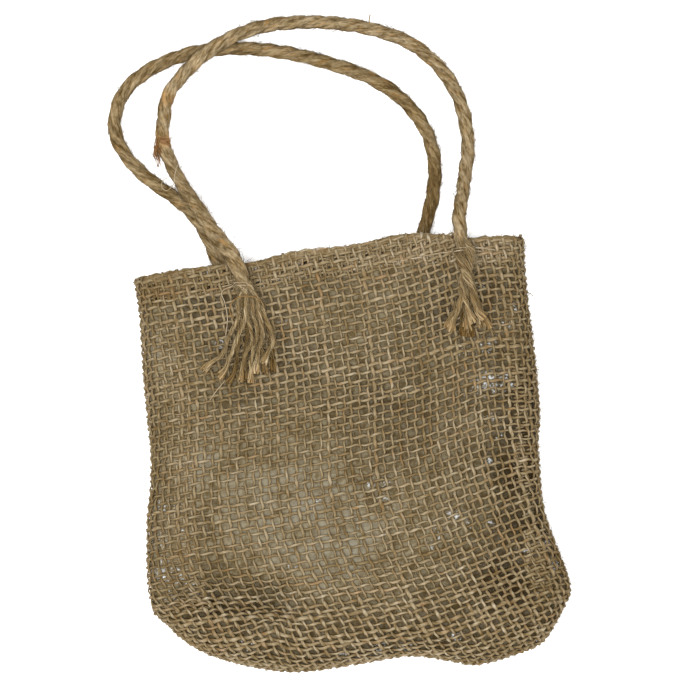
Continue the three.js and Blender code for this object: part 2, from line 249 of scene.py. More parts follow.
def add_noise(tree, vector, scale, detail):
    given = {"Vector": vector, "Scale": scale, "Detail": detail}
    return add_node(tree, "ShaderNodeTexNoise", given).outputs["Fac"]


def add_range(tree, value, low, high, to_low=0.0, to_high=1.0):
    given = {"Value": value, "From Min": low, "From Max": high, "To Min": to_low, "To Max": to_high}
    return add_node(tree, "ShaderNodeMapRange", given).outputs["Result"]


def add_mix(tree, share, first, second):
    given = {MIX_SHARE: share, MIX_FIRST: first, MIX_SECOND: second}
    return add_node(tree, "ShaderNodeMix", given, data_type="RGBA").outputs[MIX_RESULT]


def add_layer(tree, name):
    return add_node(tree, "ShaderNodeAttribute", attribute_name=name).outputs["Fac"]


# %% Node group for jute fibres
PAINTED_SHADE_WARMTH = (1.0, 1.18, 1.62)


def jute_fibre_group():
    """Colour and height of jute fibres. Darker tones, which are largely painted shade, are also warmer:
    each channel has its own power.
    """
    tree = bpy.data.node_groups.new("jute_fibre", "ShaderNodeTree")
    for name, kind in (("Pale", "Color"), ("Brown", "Color"), ("Fleck", "Color"), ("Fibres Round", "Float"),
                       ("Fibre Length", "Float"), ("Twist", "Float")):
        tree.interface.new_socket(name, in_out="INPUT", socket_type="NodeSocket" + kind)
    tree.interface.new_socket("Colour", in_out="OUTPUT", socket_type="NodeSocketColor")
    tree.interface.new_socket("Height", in_out="OUTPUT", socket_type="NodeSocketFloat")
    given = add_node(tree, "NodeGroupInput").outputs
    uv = add_node(tree, "ShaderNodeUVMap", uv_map="fibre").outputs["UV"]
    place = add_node(tree, "ShaderNodeSeparateXYZ", {0: uv}).outputs
    turned = add_math(tree, "MULTIPLY_ADD", place[0], given["Twist"], place[1])
    fibre_round = add_math(tree, "MULTIPLY", turned, given["Fibres Round"])
    fibre_along = add_math(tree, "DIVIDE", place[0], given["Fibre Length"])
    fibre = add_node(tree, "ShaderNodeCombineXYZ", {0: fibre_round, 1: fibre_along}).outputs[0]
    streak = add_noise(tree, fibre, 1.0, 3.0)
    clump = add_noise(tree, fibre, 0.31, 2.0)
    rare = add_noise(tree, fibre, 0.47, 1.0)
    patch = add_noise(tree, add_node(tree, "ShaderNodeTexCoord").outputs["Object"], 42.0, 2.0)
    height = add_math(tree, "MULTIPLY_ADD", clump, 0.5, add_math(tree, "MULTIPLY", streak, 0.5))
    # pale on the high fibres and brown in the hollows: partly the fibres' own colour, partly painted
    # highlight and shade
    pale_share = add_range(tree, height, 0.38, 0.60)
    colour = add_mix(tree, pale_share, given["Brown"], given["Pale"])
    colour = add_mix(tree, add_range(tree, rare, 0.62, 0.74, 0.0, 0.75), colour, given["Fleck"])
    golden = add_math(tree, "MULTIPLY", add_layer(tree, "gold"), pale_share)
    colour = add_mix(tree, golden, colour, given["Fleck"])
    patches = add_range(tree, patch, 0.3, 0.7, 0.86, 1.12)
    strength = add_math(tree, "MULTIPLY", add_layer(tree, "tone"), patches)
    channels = enumerate([add_math(tree, "POWER", strength, power) for power in PAINTED_SHADE_WARMTH])
    warm = add_node(tree, "ShaderNodeCombineXYZ", channels).outputs[0]
    scaled = add_node(tree, "ShaderNodeVectorMath", {0: colour, 1: warm}, operation="MULTIPLY")
    add_node(tree, "NodeGroupOutput", {"Colour": scaled.outputs[0], "Height": height})
    return tree


jute_fibre = jute_fibre_group()
print("jute group:", len(jute_fibre.nodes), "nodes")

# %% Jute materials
GOLDEN = (0.207, 0.114, 0.039)
TAN = (0.186, 0.108, 0.046)


def new_material(name, given):
    """A material, its tree and its shader, with constants on the shader's own sockets."""
    material = bpy.data.materials.new(name)
    material.use_nodes = True
    shader = material.node_tree.nodes["Principled BSDF"]
    for socket, value in given.items():
        shader.inputs[socket].default_value = value
    return material, material.node_tree, shader


def add_bump(tree, shader, height, depth, strength):
    given = {"Height": height, "Distance": depth * MM, "Strength": strength}
    tree.links.new(add_node(tree, "ShaderNodeBump", given).outputs["Normal"], shader.inputs["Normal"])


def jute_material(name, pale, brown, fleck, round_count, fibre_length, twist, bump_depth):
    material, tree, shader = new_material(name, {"Roughness": 0.8, "Specular IOR Level": 0.0})
    given = {"Pale": (*pale, 1), "Brown": (*brown, 1), "Fleck": (*fleck, 1), "Fibres Round": round_count,
             "Fibre Length": fibre_length, "Twist": twist}
    fibres = add_node(tree, "ShaderNodeGroup", given, node_tree=jute_fibre)
    tree.links.new(fibres.outputs["Colour"], shader.inputs["Base Color"])
    add_bump(tree, shader, fibres.outputs["Height"], bump_depth, 1.0)
    return material


# name, pale, brown and fleck colours, fibres round a tube, their length, twist, depth of the relief
cloth_jute, rope_jute, yarn_jute, thread_jute, russet_jute, gold_jute = (jute_material(*row) for row in (
    ("cloth_jute", (0.222, 0.178, 0.112), (0.120, 0.080, 0.034), TAN, 6.0, 3.0, 0.10, 0.4),
    ("rope_jute", (0.218, 0.163, 0.090), (0.060, 0.036, 0.011), GOLDEN, 30.0, 2.6, -0.02, 0.6),
    ("yarn_jute", (0.268, 0.210, 0.117), (0.080, 0.047, 0.016), GOLDEN, 6.0, 5.0, 0.05, 0.4),
    ("pale_thread", (0.33, 0.275, 0.195), (0.24, 0.18, 0.11), GOLDEN, 4.0, 3.0, 0.4, 0.1),
    ("russet_fibre", (0.19, 0.100, 0.040), (0.11, 0.050, 0.020), TAN, 4.0, 3.0, 0.2, 0.1),
    ("golden_fibre", (0.207, 0.124, 0.045), (0.14, 0.076, 0.024), GOLDEN, 4.0, 3.0, 0.2, 0.1),
))
print("materials:", len(bpy.data.materials))

# %% [markdown]
# Each handle is one length of three-strand rope, on the solid's own route: the front rope comes down from
# the hem to the surface and passes over the back rope once. A centripetal spline goes through the points
# without the small loops that an even spline makes where points lie close together.

# %% Routes of the handles
ROPE = 5.8
ROPE_LAY = 26.0
ROPE_STEP = 0.7
BACK_ROPE_HEIGHT = 3.0
FRONT_HANDLE = [
    (-36.5, 71.0, 25.8), (-37.9, 77.4, 25.9), (-40.8, 85.2, 25.7), (-48.0, 96.2, 20.4),
    (-53.8, 106.7, 11.5), (-60.0, 117.4, 5.4), (-63.9, 126.6, 3.2), (-66.3, 136.0, 3.0),
    (-65.2, 144.5, 3.2), (-62.5, 153.7, 5.6), (-55.8, 161.3, 8.1), (-46.0, 169.2, 9.2), (-33.8, 175.6, 8.0),
    (-20.0, 179.2, 4.8), (-6.1, 179.7, 3.1), (10.2, 177.8, 3.0), (24.5, 174.0, 3.0), (39.2, 167.0, 3.0),
    (50.7, 155.2, 3.0), (56.6, 143.2, 3.0), (58.7, 131.2, 3.1), (58.6, 122.0, 5.0), (56.5, 112.6, 10.2),
    (54.2, 102.5, 17.0), (52.2, 94.0, 22.6), (52.2, 86.6, 25.0), (52.9, 78.6, 25.3),
]
BACK_HANDLE = [
    (-41.4, 68.0), (-44.5, 76.2), (-47.7, 85.8), (-50.6, 94.0), (-56.0, 104.3), (-63.8, 112.1),
    (-72.0, 119.0), (-78.8, 126.2), (-83.4, 133.4), (-85.6, 141.1), (-84.4, 149.4), (-79.6, 157.8),
    (-70.4, 164.5), (-56.4, 169.6), (-41.7, 171.3), (-27.3, 170.4), (-11.0, 167.1), (5.0, 161.7),
    (19.5, 155.3), (30.8, 147.2), (38.3, 138.3), (42.8, 128.9), (44.5, 118.9), (43.8, 109.6), (41.6, 100.2),
    (38.6, 92.0), (36.9, 84.4), (36.8, 76.0),
]


def spline_span(here, after, leave, arrive, count):
    """One span of a spline between two places, with the speeds at which it leaves and arrives."""
    way = np.linspace(0, 1, count, endpoint=False)[:, None]
    bend = 2 * (here - after) + leave + arrive
    swing = -3 * (here - after) - 2 * leave - arrive
    return here + leave * way + swing * way**2 + bend * way**3


def even_line(fine, count):
    lengths = run_lengths(fine)
    even = np.linspace(0, lengths[-1], count)
    return np.stack([np.interp(even, lengths, column) for column in fine.T], -1)


def smooth_route(rows, spacing):
    """A centripetal spline through the rows, in even steps."""
    rows = np.array(rows, float)
    rows = np.vstack([2 * rows[0] - rows[1], rows, 2 * rows[-1] - rows[-2]])
    gaps = np.sqrt(np.linalg.norm(np.diff(rows, axis=0), axis=1))
    spans = []
    for k in range(1, len(rows) - 2):
        before, here, after, later = rows[k - 1 : k + 3]
        left, span, right = gaps[k - 1 : k + 2]
        leave = ((here - before) / left - (after - before) / (left + span) + (after - here) / span) * span
        arrive = ((after - here) / span - (later - here) / (span + right) + (later - after) / right) * span
        spans.append(spline_span(here, after, leave, arrive, 24))
    fine = np.vstack(spans + [rows[-2:-1]])
    return even_line(fine, round(run_lengths(fine)[-1] / spacing) + 1)


front_route = smooth_route(FRONT_HANDLE, ROPE_STEP)
back_route = smooth_route([(x, y, BACK_ROPE_HEIGHT) for x, y in BACK_HANDLE], ROPE_STEP)
print("ropes:", round(run_lengths(front_route)[-1], 1), round(run_lengths(back_route)[-1], 1), "mm")

# %% [markdown]
# Three strands lie round each other, so the rope's section has three lobes that turn as it goes along.
# Three tubes would spend most of their faces inside the rope, and one skin with a three-lobed section shows
# the same strands. Each is a bundle of loose yarns, which the opposite twist leaves at half the strands'
# slant. So fine flutes that turn half as fast are added on top, and slow noise makes the rope a little
# uneven.

# %% Section of the rope
ROPE_SIDES = 36
STRAND_RADIUS = 1.98
STRAND_OFFSET = 0.90
FLUTE_DEPTH = 0.09
FLUTES = 13


def smooth_step(value, low, high):
    way = np.clip((value - low) / (high - low), 0, 1)
    return way * way * (3 - 2 * way)


def slow_noise(places, size, seed):
    """Smooth noise of about -1 to 1 along a line, with bumps of the given size."""
    return np.array([noise.noise((place / size, seed * 7.31, seed * 1.7)) for place in places])


def rope_profile(along, sides, seed):
    turn = np.arange(sides)[None, :] * 2 * np.pi / sides
    lay = 2 * np.pi * along[:, None] / ROPE_LAY + 0.9 * slow_noise(along, 40, seed)[:, None]
    off = (turn - lay + np.pi / 3) % (2 * np.pi / 3) - np.pi / 3
    reach = np.sqrt(STRAND_RADIUS**2 - (STRAND_OFFSET * np.sin(off)) ** 2)
    radius = STRAND_OFFSET * np.cos(off) + reach
    wander = 1.3 * slow_noise(along, 9, seed + 3)[:, None]
    fibre = turn - lay / 2
    flutes = np.cos(FLUTES * fibre + wander) + 0.6 * np.cos((FLUTES - 4) * fibre - 2 * wander + seed)
    uneven = 1 + 0.07 * slow_noise(along, 9, seed + 5)[:, None]
    # where the grooves between the strands lie; rope_handle paints shade there
    groove = np.exp(-(((np.abs(off) - np.pi / 3) / 0.20) ** 2))
    rough = dice.normal(0, 0.05, radius.shape)
    return (radius + FLUTE_DEPTH * flutes + rough) * uneven / (ROPE / 2), groove


# %% Make the ropes
SEWN_SWELL = 0.16
SEWN_PLACE = 17.0
GOLD_SPOTS = [(-63.7, 153.4), (-66.6, 135.5)]
SPOT_SIZE = 3.0


def rope_handle(name, node, route, seed, light, painted_start_light, end_gain):
    along = run_lengths(route)
    profile, groove = rope_profile(along, ROPE_SIDES, seed)
    sewn = np.minimum(along, along[-1] - along)
    swell = 1 + SEWN_SWELL * np.exp(-(((along - SEWN_PLACE) / SEWN_PLACE) ** 2))
    profile = profile * (0.5 + 0.5 * smooth_step(sewn, 0.5, 4))[:, None]
    # painted light: light sets each rope's brightness, and the back rope is painted darker, a painted shade
    shade = light + 0.08 * slow_noise(along, 16, seed + 8)
    # painted light lifts the start of the back rope, where the front rope shades it
    shade = shade * (1 + painted_start_light * (1 - smooth_step(along, 24, 44)))
    # end_gain darkens the back rope towards its right end
    shade = shade * (1 + end_gain * (1 - smooth_step(along[-1] - along, 36, 54)))
    # painted shade in the grooves between the strands, patchy along the rope
    painted_shade_depth = np.clip(0.20 + 0.6 * slow_noise(along, 3, seed + 9), 0.0, 0.55)
    tone = shade[:, None] * (1.05 - painted_shade_depth[:, None] * groove) * dice.normal(1.0, 0.10, groove.shape)
    gold = np.clip(1.2 * slow_noise(along, 12, seed + 11) - 0.4, 0, 0.4)
    for x, y in GOLD_SPOTS:
        away = np.hypot(route[:, 0] - x, route[:, 1] - y)
        gold = np.maximum(gold, 1.2 * np.exp(-((away / SPOT_SIZE) ** 2)))
    # the gold mix in the grooves makes their painted shade browner
    gold = np.maximum(gold[:, None], 0.3 * groove)
    tubes = [strand(route, UP, ROPE * swell, ROPE, tone, profile, gold)]
    return tube_piece(name, tubes, ROPE_SIDES, rope_jute, node)


rope_front = rope_handle("rope_front", "handle_front", front_route, seed=2, light=1.07,
                         painted_start_light=0.0, end_gain=0.0)
rope_back = rope_handle("rope_back", "handle_back", back_route, seed=5, light=0.88,
                        painted_start_light=0.2, end_gain=-0.36)

# %% [markdown]
# The bag's outline as it lies, seen from above, and how thick it is from the mouth to the bottom. These
# short tables are the solid's own. Between the four edges a Coons patch gives every place a share across
# and a share down, and from those come the height of the front wall, its creases and the lift that the back
# rope's ends give it.

# %% Tables of the bag
RIM = [
    (-83, 79.7), (-63, 81.8), (-43, 83.1), (-33, 82.9), (-13, 86.0), (6, 86.3), (27, 89.2), (42, 88.2),
    (56, 86.1), (66, 86.9), (79, 84.6),
]
BOTTOM = [
    (-85.3, -57.5), (-79.4, -63.5), (-72, -70.9), (-62, -77.2), (-45, -83.2), (-27, -86.4), (-4, -85.3),
    (17, -83.5), (32, -86.1), (45, -89.2), (62, -86.2), (73, -82.0), (80.4, -72.5), (86.0, -63.5),
]
LEFT = [
    (-83, 79.7), (-81.6, 66), (-82.1, 38), (-81.5, 10), (-82.6, -6), (-85.0, -19), (-86.6, -44),
    (-85.3, -57.5),
]
RIGHT = [
    (79, 84.6), (78.3, 65), (79.5, 38), (79.9, 14), (78.1, -2), (78.0, -22), (79.5, -33), (83.2, -46),
    (86.3, -57), (86.0, -63.5),
]
# columns: way down, thickness of the bag, height of the side fold, width of its slope
SECTIONS = [
    (0, 15.5, 6.5, 9), (0.2, 16.5, 6.5, 10), (0.45, 20, 8, 14), (0.7, 24, 10.5, 19), (0.88, 29, 12.5, 24),
    (1, 29, 12.5, 24),
]
BACK_ROUND = 1.1
BOTTOM_ROLL_FRONT = 26.0
BOTTOM_ROLL_BACK = 13.0
# columns: start x, start y, end x, end y, width, height
CREASES = [
    (-76, -48, -34, -56, 6.5, -8), (-34, -56, 30, -58, 7, -3), (30, -37, 57, -14, 8, 3),
    (-7, 12, 40, 28, 11, -1.3), (62, 20, 66, -14, 9, -2.2), (-40, 0, -46, -26, 15, 2),
    (44, -64, 66, -50, 8, -4),
]
LIFT_ENDS = (-44, 37)
LIFT_FULL = 15.0
LIFT_FADE = 62.0
LIFTS = [(-4, 0), (8, 0.3), (26, 3.1), (46, 3.7), (62, 6.2), (90, 6.3)]
CLOTH = 1.8
HEM_DEPTH = 12.0
print(len(RIM) + len(BOTTOM) + len(LEFT) + len(RIGHT), "rows of outline")

# %% Curves through the tables
def smooth_column(rows, column, at):
    """A smooth value through one column of a table, as the solid reads it."""
    table = np.array(rows, float)
    places, values = table[:, 0], table[:, column]
    secants = np.diff(values) / np.diff(places)
    slopes = np.concatenate([secants[:1], (secants[1:] + secants[:-1]) / 2, secants[-1:]])
    at = np.clip(at, places[0], places[-1])
    k = np.clip(np.searchsorted(places, at, side="right") - 1, 0, len(places) - 2)
    span = places[k + 1] - places[k]
    way = (at - places[k]) / span
    start = (1 + 2 * way) * (1 - way) ** 2 * values[k] + way * (1 - way) ** 2 * span * slopes[k]
    end = way**2 * (3 - 2 * way) * values[k + 1] + way**2 * (way - 1) * span * slopes[k + 1]
    return start + end


def edge_curve(rows):
    """An even spline through an edge's rows, read by the share of its length."""
    rows = np.array(rows, float)
    rows = np.vstack([rows[:1], rows, rows[-1:]])
    spans = []
    for k in range(1, len(rows) - 2):
        before, here, after, later = rows[k - 1 : k + 3]
        spans.append(spline_span(here, after, (after - before) / 2, (later - here) / 2, 30))
    fine = np.vstack(spans + [rows[-1:]])
    share = run_lengths(fine)
    share = share / share[-1]
    return lambda at: np.stack([np.interp(at, share, fine[:, 0]), np.interp(at, share, fine[:, 1])], -1)


rim_edge, bottom_edge, left_edge, right_edge = (edge_curve(rows) for rows in (RIM, BOTTOM, LEFT, RIGHT))


def plan(across, down):
    """The Coons patch between the four edges."""
    across, down = np.asarray(across, float)[..., None], np.asarray(down, float)[..., None]
    mixed = (1 - down) * rim_edge(across[..., 0]) + down * bottom_edge(across[..., 0])
    mixed = mixed + (1 - across) * left_edge(down[..., 0]) + across * right_edge(down[..., 0])
    top = (1 - across) * np.array(RIM[0]) + across * np.array(RIM[-1])
    low = (1 - across) * np.array(BOTTOM[0]) + across * np.array(BOTTOM[-1])
    return mixed - (1 - down) * top - down * low


def width_at(down):
    return np.linalg.norm(left_edge(down) - right_edge(down), axis=-1)


def length_at(across):
    return np.linalg.norm(rim_edge(across) - bottom_edge(across), axis=-1)


def find_place(x, y):
    """Shares across and down of a place on the surface."""
    across = np.full(np.shape(x), 0.5)
    down = np.full(np.shape(x), 0.5)
    for _ in range(16):
        reached = plan(across, down)
        across = np.clip(across + 0.9 * (x - reached[..., 0]) / width_at(down), 0, 1)
        down = np.clip(down - 0.9 * (y - reached[..., 1]) / length_at(across), 0, 1)
    return across, down


# %% Height of the front wall
def crease_height(x, y):
    total = np.zeros(np.shape(x))
    for x0, y0, x1, y1, wide, height in CREASES:
        run = ((x - x0) * (x1 - x0) + (y - y0) * (y1 - y0)) / ((x1 - x0) ** 2 + (y1 - y0) ** 2)
        run = np.clip(run, 0, 1)
        away = np.hypot(x - x0 - run * (x1 - x0), y - y0 - run * (y1 - y0))
        total = total + height * np.exp(-((away / wide) ** 2))
    return total


def lift_height(x, y):
    share = sum(1 - smooth_step(np.abs(x - end), LIFT_FULL, LIFT_FADE) for end in LIFT_ENDS)
    return np.minimum(share, 1) * np.maximum(smooth_column(LIFTS, 1, y), 0)


def rounded_share(distance, wide, inset):
    """How much of its rise a rounded edge has reached at a distance from the fold."""
    way = np.clip((distance - inset) / (wide - inset), 0, 1)
    return np.sqrt(1 - (1 - way) ** 2)


def front_height(x, y, inset):
    across, down = find_place(x, y)
    depth, fold, slope = (smooth_column(SECTIONS, column, down) for column in (1, 2, 3))
    from_side = np.minimum(across, 1 - across) * width_at(down)
    from_bottom = (1 - down) * length_at(across)
    side, bottom = np.ones(np.shape(x)), np.ones(np.shape(x))
    for _ in range(3):
        wide = slope + (1 - bottom) * (fold * BACK_ROUND - slope) / 2
        roll = BOTTOM_ROLL_FRONT + (1 - side) * (BOTTOM_ROLL_BACK - BOTTOM_ROLL_FRONT) / 2
        side = rounded_share(from_side, wide, inset)
        bottom = rounded_share(from_bottom, roll, inset)
    full = side * bottom
    return fold + (depth - fold - inset + crease_height(x, y)) * full + lift_height(x, y)


print("front wall at its middle:", round(float(front_height(np.array(0.0), np.array(0.0), 0)), 1), "mm")

# %% [markdown]
# The weave is drawn flat, as on the loom, and then laid on the bag. Over the folds a straight yarn stays
# straight on the cloth but bends round the bag. So each stretch of the outline gets a section through the
# front wall, round the fold and on to the underside, measured along the cloth. A flat place outside the
# middle is looked up there.

# %% Sections round the folds
MID_CLOTH = CLOTH / 2
REACH_IN = 30.0
TABLE_STEP = 0.25
TABLE_LENGTH = 85.0
OUTLINE_COUNT = 620
OUTLINE_SMOOTH = 11.0
FOLD_COUNT = 110
UNDER_COUNT = 25
FLAT_RUNS = np.array([10.0, 20.0, 40.0])


def bag_outline():
    shares = np.linspace(0, 1, 240)
    whole = np.vstack([left_edge(shares), bottom_edge(shares)[1:], right_edge(1 - shares)[1:]])
    even = np.linspace(0, run_lengths(whole)[-1], OUTLINE_COUNT)
    line = even_line(whole, OUTLINE_COUNT)
    forward = tangents_of(line)
    outward = np.stack([forward[:, 1], -forward[:, 0]], -1)
    near = np.exp(-(((even[:, None] - even[None, :]) / OUTLINE_SMOOTH) ** 2))
    return line - MID_CLOTH * outward, unit(near @ outward)


outline_line, outline_out = bag_outline()
outline_along = np.stack([-outline_out[:, 1], outline_out[:, 0]], -1)


def fold_sections():
    """For each outline place: distance out, height and run along the cloth."""
    inwards = REACH_IN * (1 - np.sin(np.linspace(0, np.pi / 2, FOLD_COUNT)))
    places = outline_line[:, None, :] - inwards[None, :, None] * outline_out[:, None, :]
    heights = front_height(places[..., 0], places[..., 1], MID_CLOTH)
    x, y = outline_line.T
    fold = heights[:, -1:]
    floor = (MID_CLOTH + lift_height(x, y))[:, None]
    wide = (smooth_column(SECTIONS, 2, find_place(x, y)[1]) * BACK_ROUND)[:, None]
    turn = np.linspace(0, np.pi / 2, UNDER_COUNT + 1)[1:]
    flat_up = np.repeat(floor, len(FLAT_RUNS), axis=1)
    front_out = np.repeat(-inwards[None, :], OUTLINE_COUNT, axis=0)
    out = np.concatenate([front_out, -wide * (1 - np.cos(turn)), -wide - FLAT_RUNS], axis=1)
    up = np.concatenate([heights, floor + (fold - floor) * (1 - np.sin(turn)), flat_up], axis=1)
    steps = np.hypot(np.diff(out), np.diff(up))
    return out, up, np.concatenate([np.zeros((OUTLINE_COUNT, 1)), np.cumsum(steps, axis=1)], axis=1)


section_out, section_up, section_run = fold_sections()
even_run = np.arange(0, TABLE_LENGTH, TABLE_STEP)
table_out = np.array([np.interp(even_run, run, out) for run, out in zip(section_run, section_out)])
table_up = np.array([np.interp(even_run, run, up) for run, up in zip(section_run, section_up)])
run_at_floor = section_run[:, FOLD_COUNT + UNDER_COUNT - 1]
fold_up = section_up[:, FOLD_COUNT - 1]
print("cloth to the floor:", np.round(run_at_floor[::155], 1), "mm")

# %% Lay flat places on the front wall
CHUNK = 4000


def rim_height(x):
    line = rim_edge(np.linspace(0, 1, 400))
    return np.interp(x, line[:, 0], line[:, 1])


def outline_place(flat):
    """Where on the outline a flat place belongs, and how far along the section it lies."""
    place = np.zeros(len(flat))
    run = np.zeros(len(flat))
    for start in range(0, len(flat), CHUNK):
        chunk = slice(start, start + CHUNK)
        part = flat[chunk, None, :] - outline_line[None]
        along = np.einsum("nsk,sk->ns", part, outline_along)
        out = np.einsum("nsk,sk->ns", part, outline_out)
        crossed = (along[:, :-1] >= 0) & (along[:, 1:] < 0)
        crossed[:, 0] |= along[:, 0] < 0
        crossed[:, -1] |= along[:, -1] >= 0
        cost = np.where(crossed, np.abs(out[:, :-1]), 1e9)
        k = np.argmin(cost, axis=1)
        row = np.arange(len(k))
        way = np.clip(along[row, k] / (along[row, k] - along[row, k + 1] + 1e-12), 0, 1)
        place[chunk] = k + way
        run[chunk] = REACH_IN + out[row, k] * (1 - way) + out[row, k + 1] * way
    return place, run


def look_up(table, place, run):
    k = np.clip(place.astype(int), 0, len(table) - 2)
    r = np.clip(run / TABLE_STEP, 0, table.shape[1] - 1.001)
    m = r.astype(int)
    a, b = place - k, r - m
    low = table[k, m] * (1 - b) + table[k, m + 1] * b
    high = table[k + 1, m] * (1 - b) + table[k + 1, m + 1] * b
    return low * (1 - a) + high * a


def mix_rows(rows, place):
    k = np.clip(place.astype(int), 0, len(rows) - 2)
    a = place - k
    if rows.ndim > 1:
        a = a[:, None]
    return rows[k] * (1 - a) + rows[k + 1] * a


def front_place(flat):
    """Lays flat places on the front wall and round its folds, and says how far past the floor they reach."""
    place, run = outline_place(flat)
    laid = np.zeros((len(flat), 3))
    past = run - mix_rows(run_at_floor, place)
    inside = run <= 0
    laid[inside, :2] = flat[inside]
    laid[inside, 2] = front_height(flat[inside, 0], flat[inside, 1], MID_CLOTH)
    edge = ~inside
    out = look_up(table_out, place[edge], run[edge])
    laid[edge, :2] = mix_rows(outline_line, place[edge]) + out[:, None] * mix_rows(outline_out, place[edge])
    laid[edge, 2] = look_up(table_up, place[edge], run[edge])
    return laid, past


print("middle of the front wall laid at", front_place(np.zeros((1, 2)))[0].round(1).tolist(), "mm")

# %% [markdown]
# A hem is a tight fold: at the rim the cloth turns over, comes back 12 mm inside, and its cut edge is
# tucked up between the layers. Flat places above the rim are turned over it in the same way. The hem was
# folded by eye, so its rows of yarn do not run quite along it, and the layers' yarns fill each other's
# gaps.

# %% Turn the hem and lift yarns over each other
TURN_RADIUS = 1.0
TURN_START = 1.4
HEM_SHIFT = 1.7
HEM_TUCK = 11.2
WRAP_PAST_FLOOR = 2.0
FACE_STEP = 0.4
RIM_COUNT = 481
RIM_MIDDLE = RIM_COUNT // 2


def laid_rim():
    """The rim for flat places, which lie nearer the middle than on the loom. Under the folds it drops."""
    x = np.linspace(-120, 120, RIM_COUNT)
    laid = front_place(np.column_stack([x, np.full(RIM_COUNT, 72.0)]))[0][:, 0]
    left = np.minimum.accumulate(laid[RIM_MIDDLE::-1])[::-1]
    right = np.maximum.accumulate(laid[RIM_MIDDLE:])
    drop = 3.2 * smooth_step(np.abs(x + 2), 82, 92)
    return x, rim_height(np.concatenate([left[:-1], right])) - drop


rim_table = laid_rim()


def turn_hem(flat):
    """Turns flat places over the rim, back down inside, and up again where the cut edge is tucked in."""
    rim = np.interp(flat[:, 0], *rim_table) - TURN_START
    over = flat[:, 1] - rim
    angle = np.clip(over / TURN_RADIUS, 0, np.pi)
    back = np.maximum(over - np.pi * TURN_RADIUS, 0)
    tucked = np.maximum(back - HEM_DEPTH, 0)
    turned = flat.copy()
    turned[:, 0] += HEM_SHIFT * smooth_step(over, 0, 4) - 0.6 * HEM_SHIFT * smooth_step(tucked, 0, 3)
    turned[:, 1] = np.where(over < 0, flat[:, 1], rim + TURN_RADIUS * np.sin(angle) - back + 2 * tucked)
    sink = TURN_RADIUS * (1 - np.cos(angle)) - TURN_RADIUS * smooth_step(tucked, 0, 2)
    return turned, angle, sink, tucked


def cloth_place(flat, rise, lay):
    """Lays flat places of the sheet on a wall. rise lifts them off the middle of the cloth."""
    turned, angle, sink, tucked = turn_hem(flat)
    laid, past = lay(turned)
    right = unit(lay(turned + [FACE_STEP, 0.0])[0] - laid)
    mouthwards = unit(lay(turned + [0.0, FACE_STEP])[0] - laid)
    outward = unit(np.cross(right, mouthwards))
    face = outward * np.cos(angle)[:, None] + mouthwards * np.sin(angle)[:, None]
    points = laid - outward * sink[:, None] + face * (rise * (1 - 0.3 * np.sin(angle)))[:, None]
    kept = (past < WRAP_PAST_FLOOR) & (tucked < HEM_TUCK)
    return points, face, kept


print("rim for flat places:", np.round(rim_table[1][::120], 1), "mm")

# %% [markdown]
# Warp yarns run down from the rim, and weft yarns run across. On the lying bag they are not square to each
# other: the warp leans to the right lower down, and the weft rises towards the right rope. Short tables of
# leans give these curves. Every yarn also sits a little off its place and wanders, as hand-spun jute does.

# %% Lines of the weave
# columns: height on the bag, lean of the warp in degrees, extra lean on the right and less on the left
WARP_LEANS = [
    (-110, 18, 0), (-60, 18, 0), (-48, 16, 1), (-32, 9, 5), (-14, 3, 6), (2, -3, 6), (20, -4, 1),
    (38, 0, 0), (56, 0, 0), (74, 5, 0), (110, 5, 0),
]
# columns: place across the bag, rise of the weft in degrees
WEFT_RISES = [
    (-110, 2), (-75, 2), (-55, 0.5), (-35, 1), (-15, 2), (5, 2.5), (25, 6), (40, 10.5), (50, 11), (58, 3),
    (66, -4), (110, -4),
]
# columns: place across, gap between warp yarns
WARP_GAPS = [(-110, 3.2), (-60, 3.25), (-38, 3.38), (0, 3.22), (30, 3.15), (50, 2.95), (110, 2.95)]
# columns: distance down from the mouth, gap between weft yarns
WEFT_GAPS = [(-40, 2.88), (70, 2.88), (95, 3.2), (132, 3.2), (144, 2.7), (230, 2.7)]
WARP_MIDDLE = 20.0
WEFT_MOUTH = 87.0


def carried(table, column, start, at):
    """How far a lean in degrees has carried a yarn sideways between a start and other places."""
    places = np.linspace(-130, 130, 521)
    slopes = np.tan(np.radians(smooth_column(table, column, places)))
    total = np.concatenate([[0], np.cumsum((slopes[1:] + slopes[:-1]) / 2 * np.diff(places))])
    return np.interp(at, places, total) - np.interp(start, places, total)


def flat_place(warp, drop):
    """The flat place where a warp line and a weft line meet. Low on the right the weft keeps rising."""
    x = warp.astype(float).copy()
    for _ in range(14):
        low_right = 5.5 * smooth_step(x, 52, 82) * smooth_step(drop, 85, 125)
        y = WEFT_MOUTH - drop + carried(WEFT_RISES, 1, 0, x) + low_right
        lean, side_lean = (carried(WARP_LEANS, column, WARP_MIDDLE, y) for column in (1, 2))
        x = warp - lean - warp / 60 * side_lean
    return np.stack([x, y], -1)


def yarn_stations(gaps, low, high):
    """Places of the yarns, one after another, by a table of gaps."""
    places = [low]
    while places[-1] < high:
        places.append(places[-1] + float(np.interp(places[-1], *zip(*gaps))))
    return np.array(places)


warp_places = yarn_stations(WARP_GAPS, -118.0, 112.0)
weft_places = yarn_stations(WEFT_GAPS, -36.0, 216.0)
warp_places = warp_places + dice.normal(0, 0.30, len(warp_places))
weft_places = weft_places + dice.normal(0, 0.25, len(weft_places))
print(len(warp_places), "warp and", len(weft_places), "weft lines")

# %% Uneven yarns
YARN_WIDE = 1.13
YARN_HIGH = 0.84
YARN_GAP = 3.1
WEAVE_RISE = 0.52
FLOAT_SLANT = 0.32
STEPS_PER_GAP = 2
YARN_SIDES = 5
LEAST_STEPS = 5
# painted shade and highlight of a yarn: its tone where it passes under, between and over
CROSSING_PAINTED_LIGHT = (0.62, 0.89, 0.92)
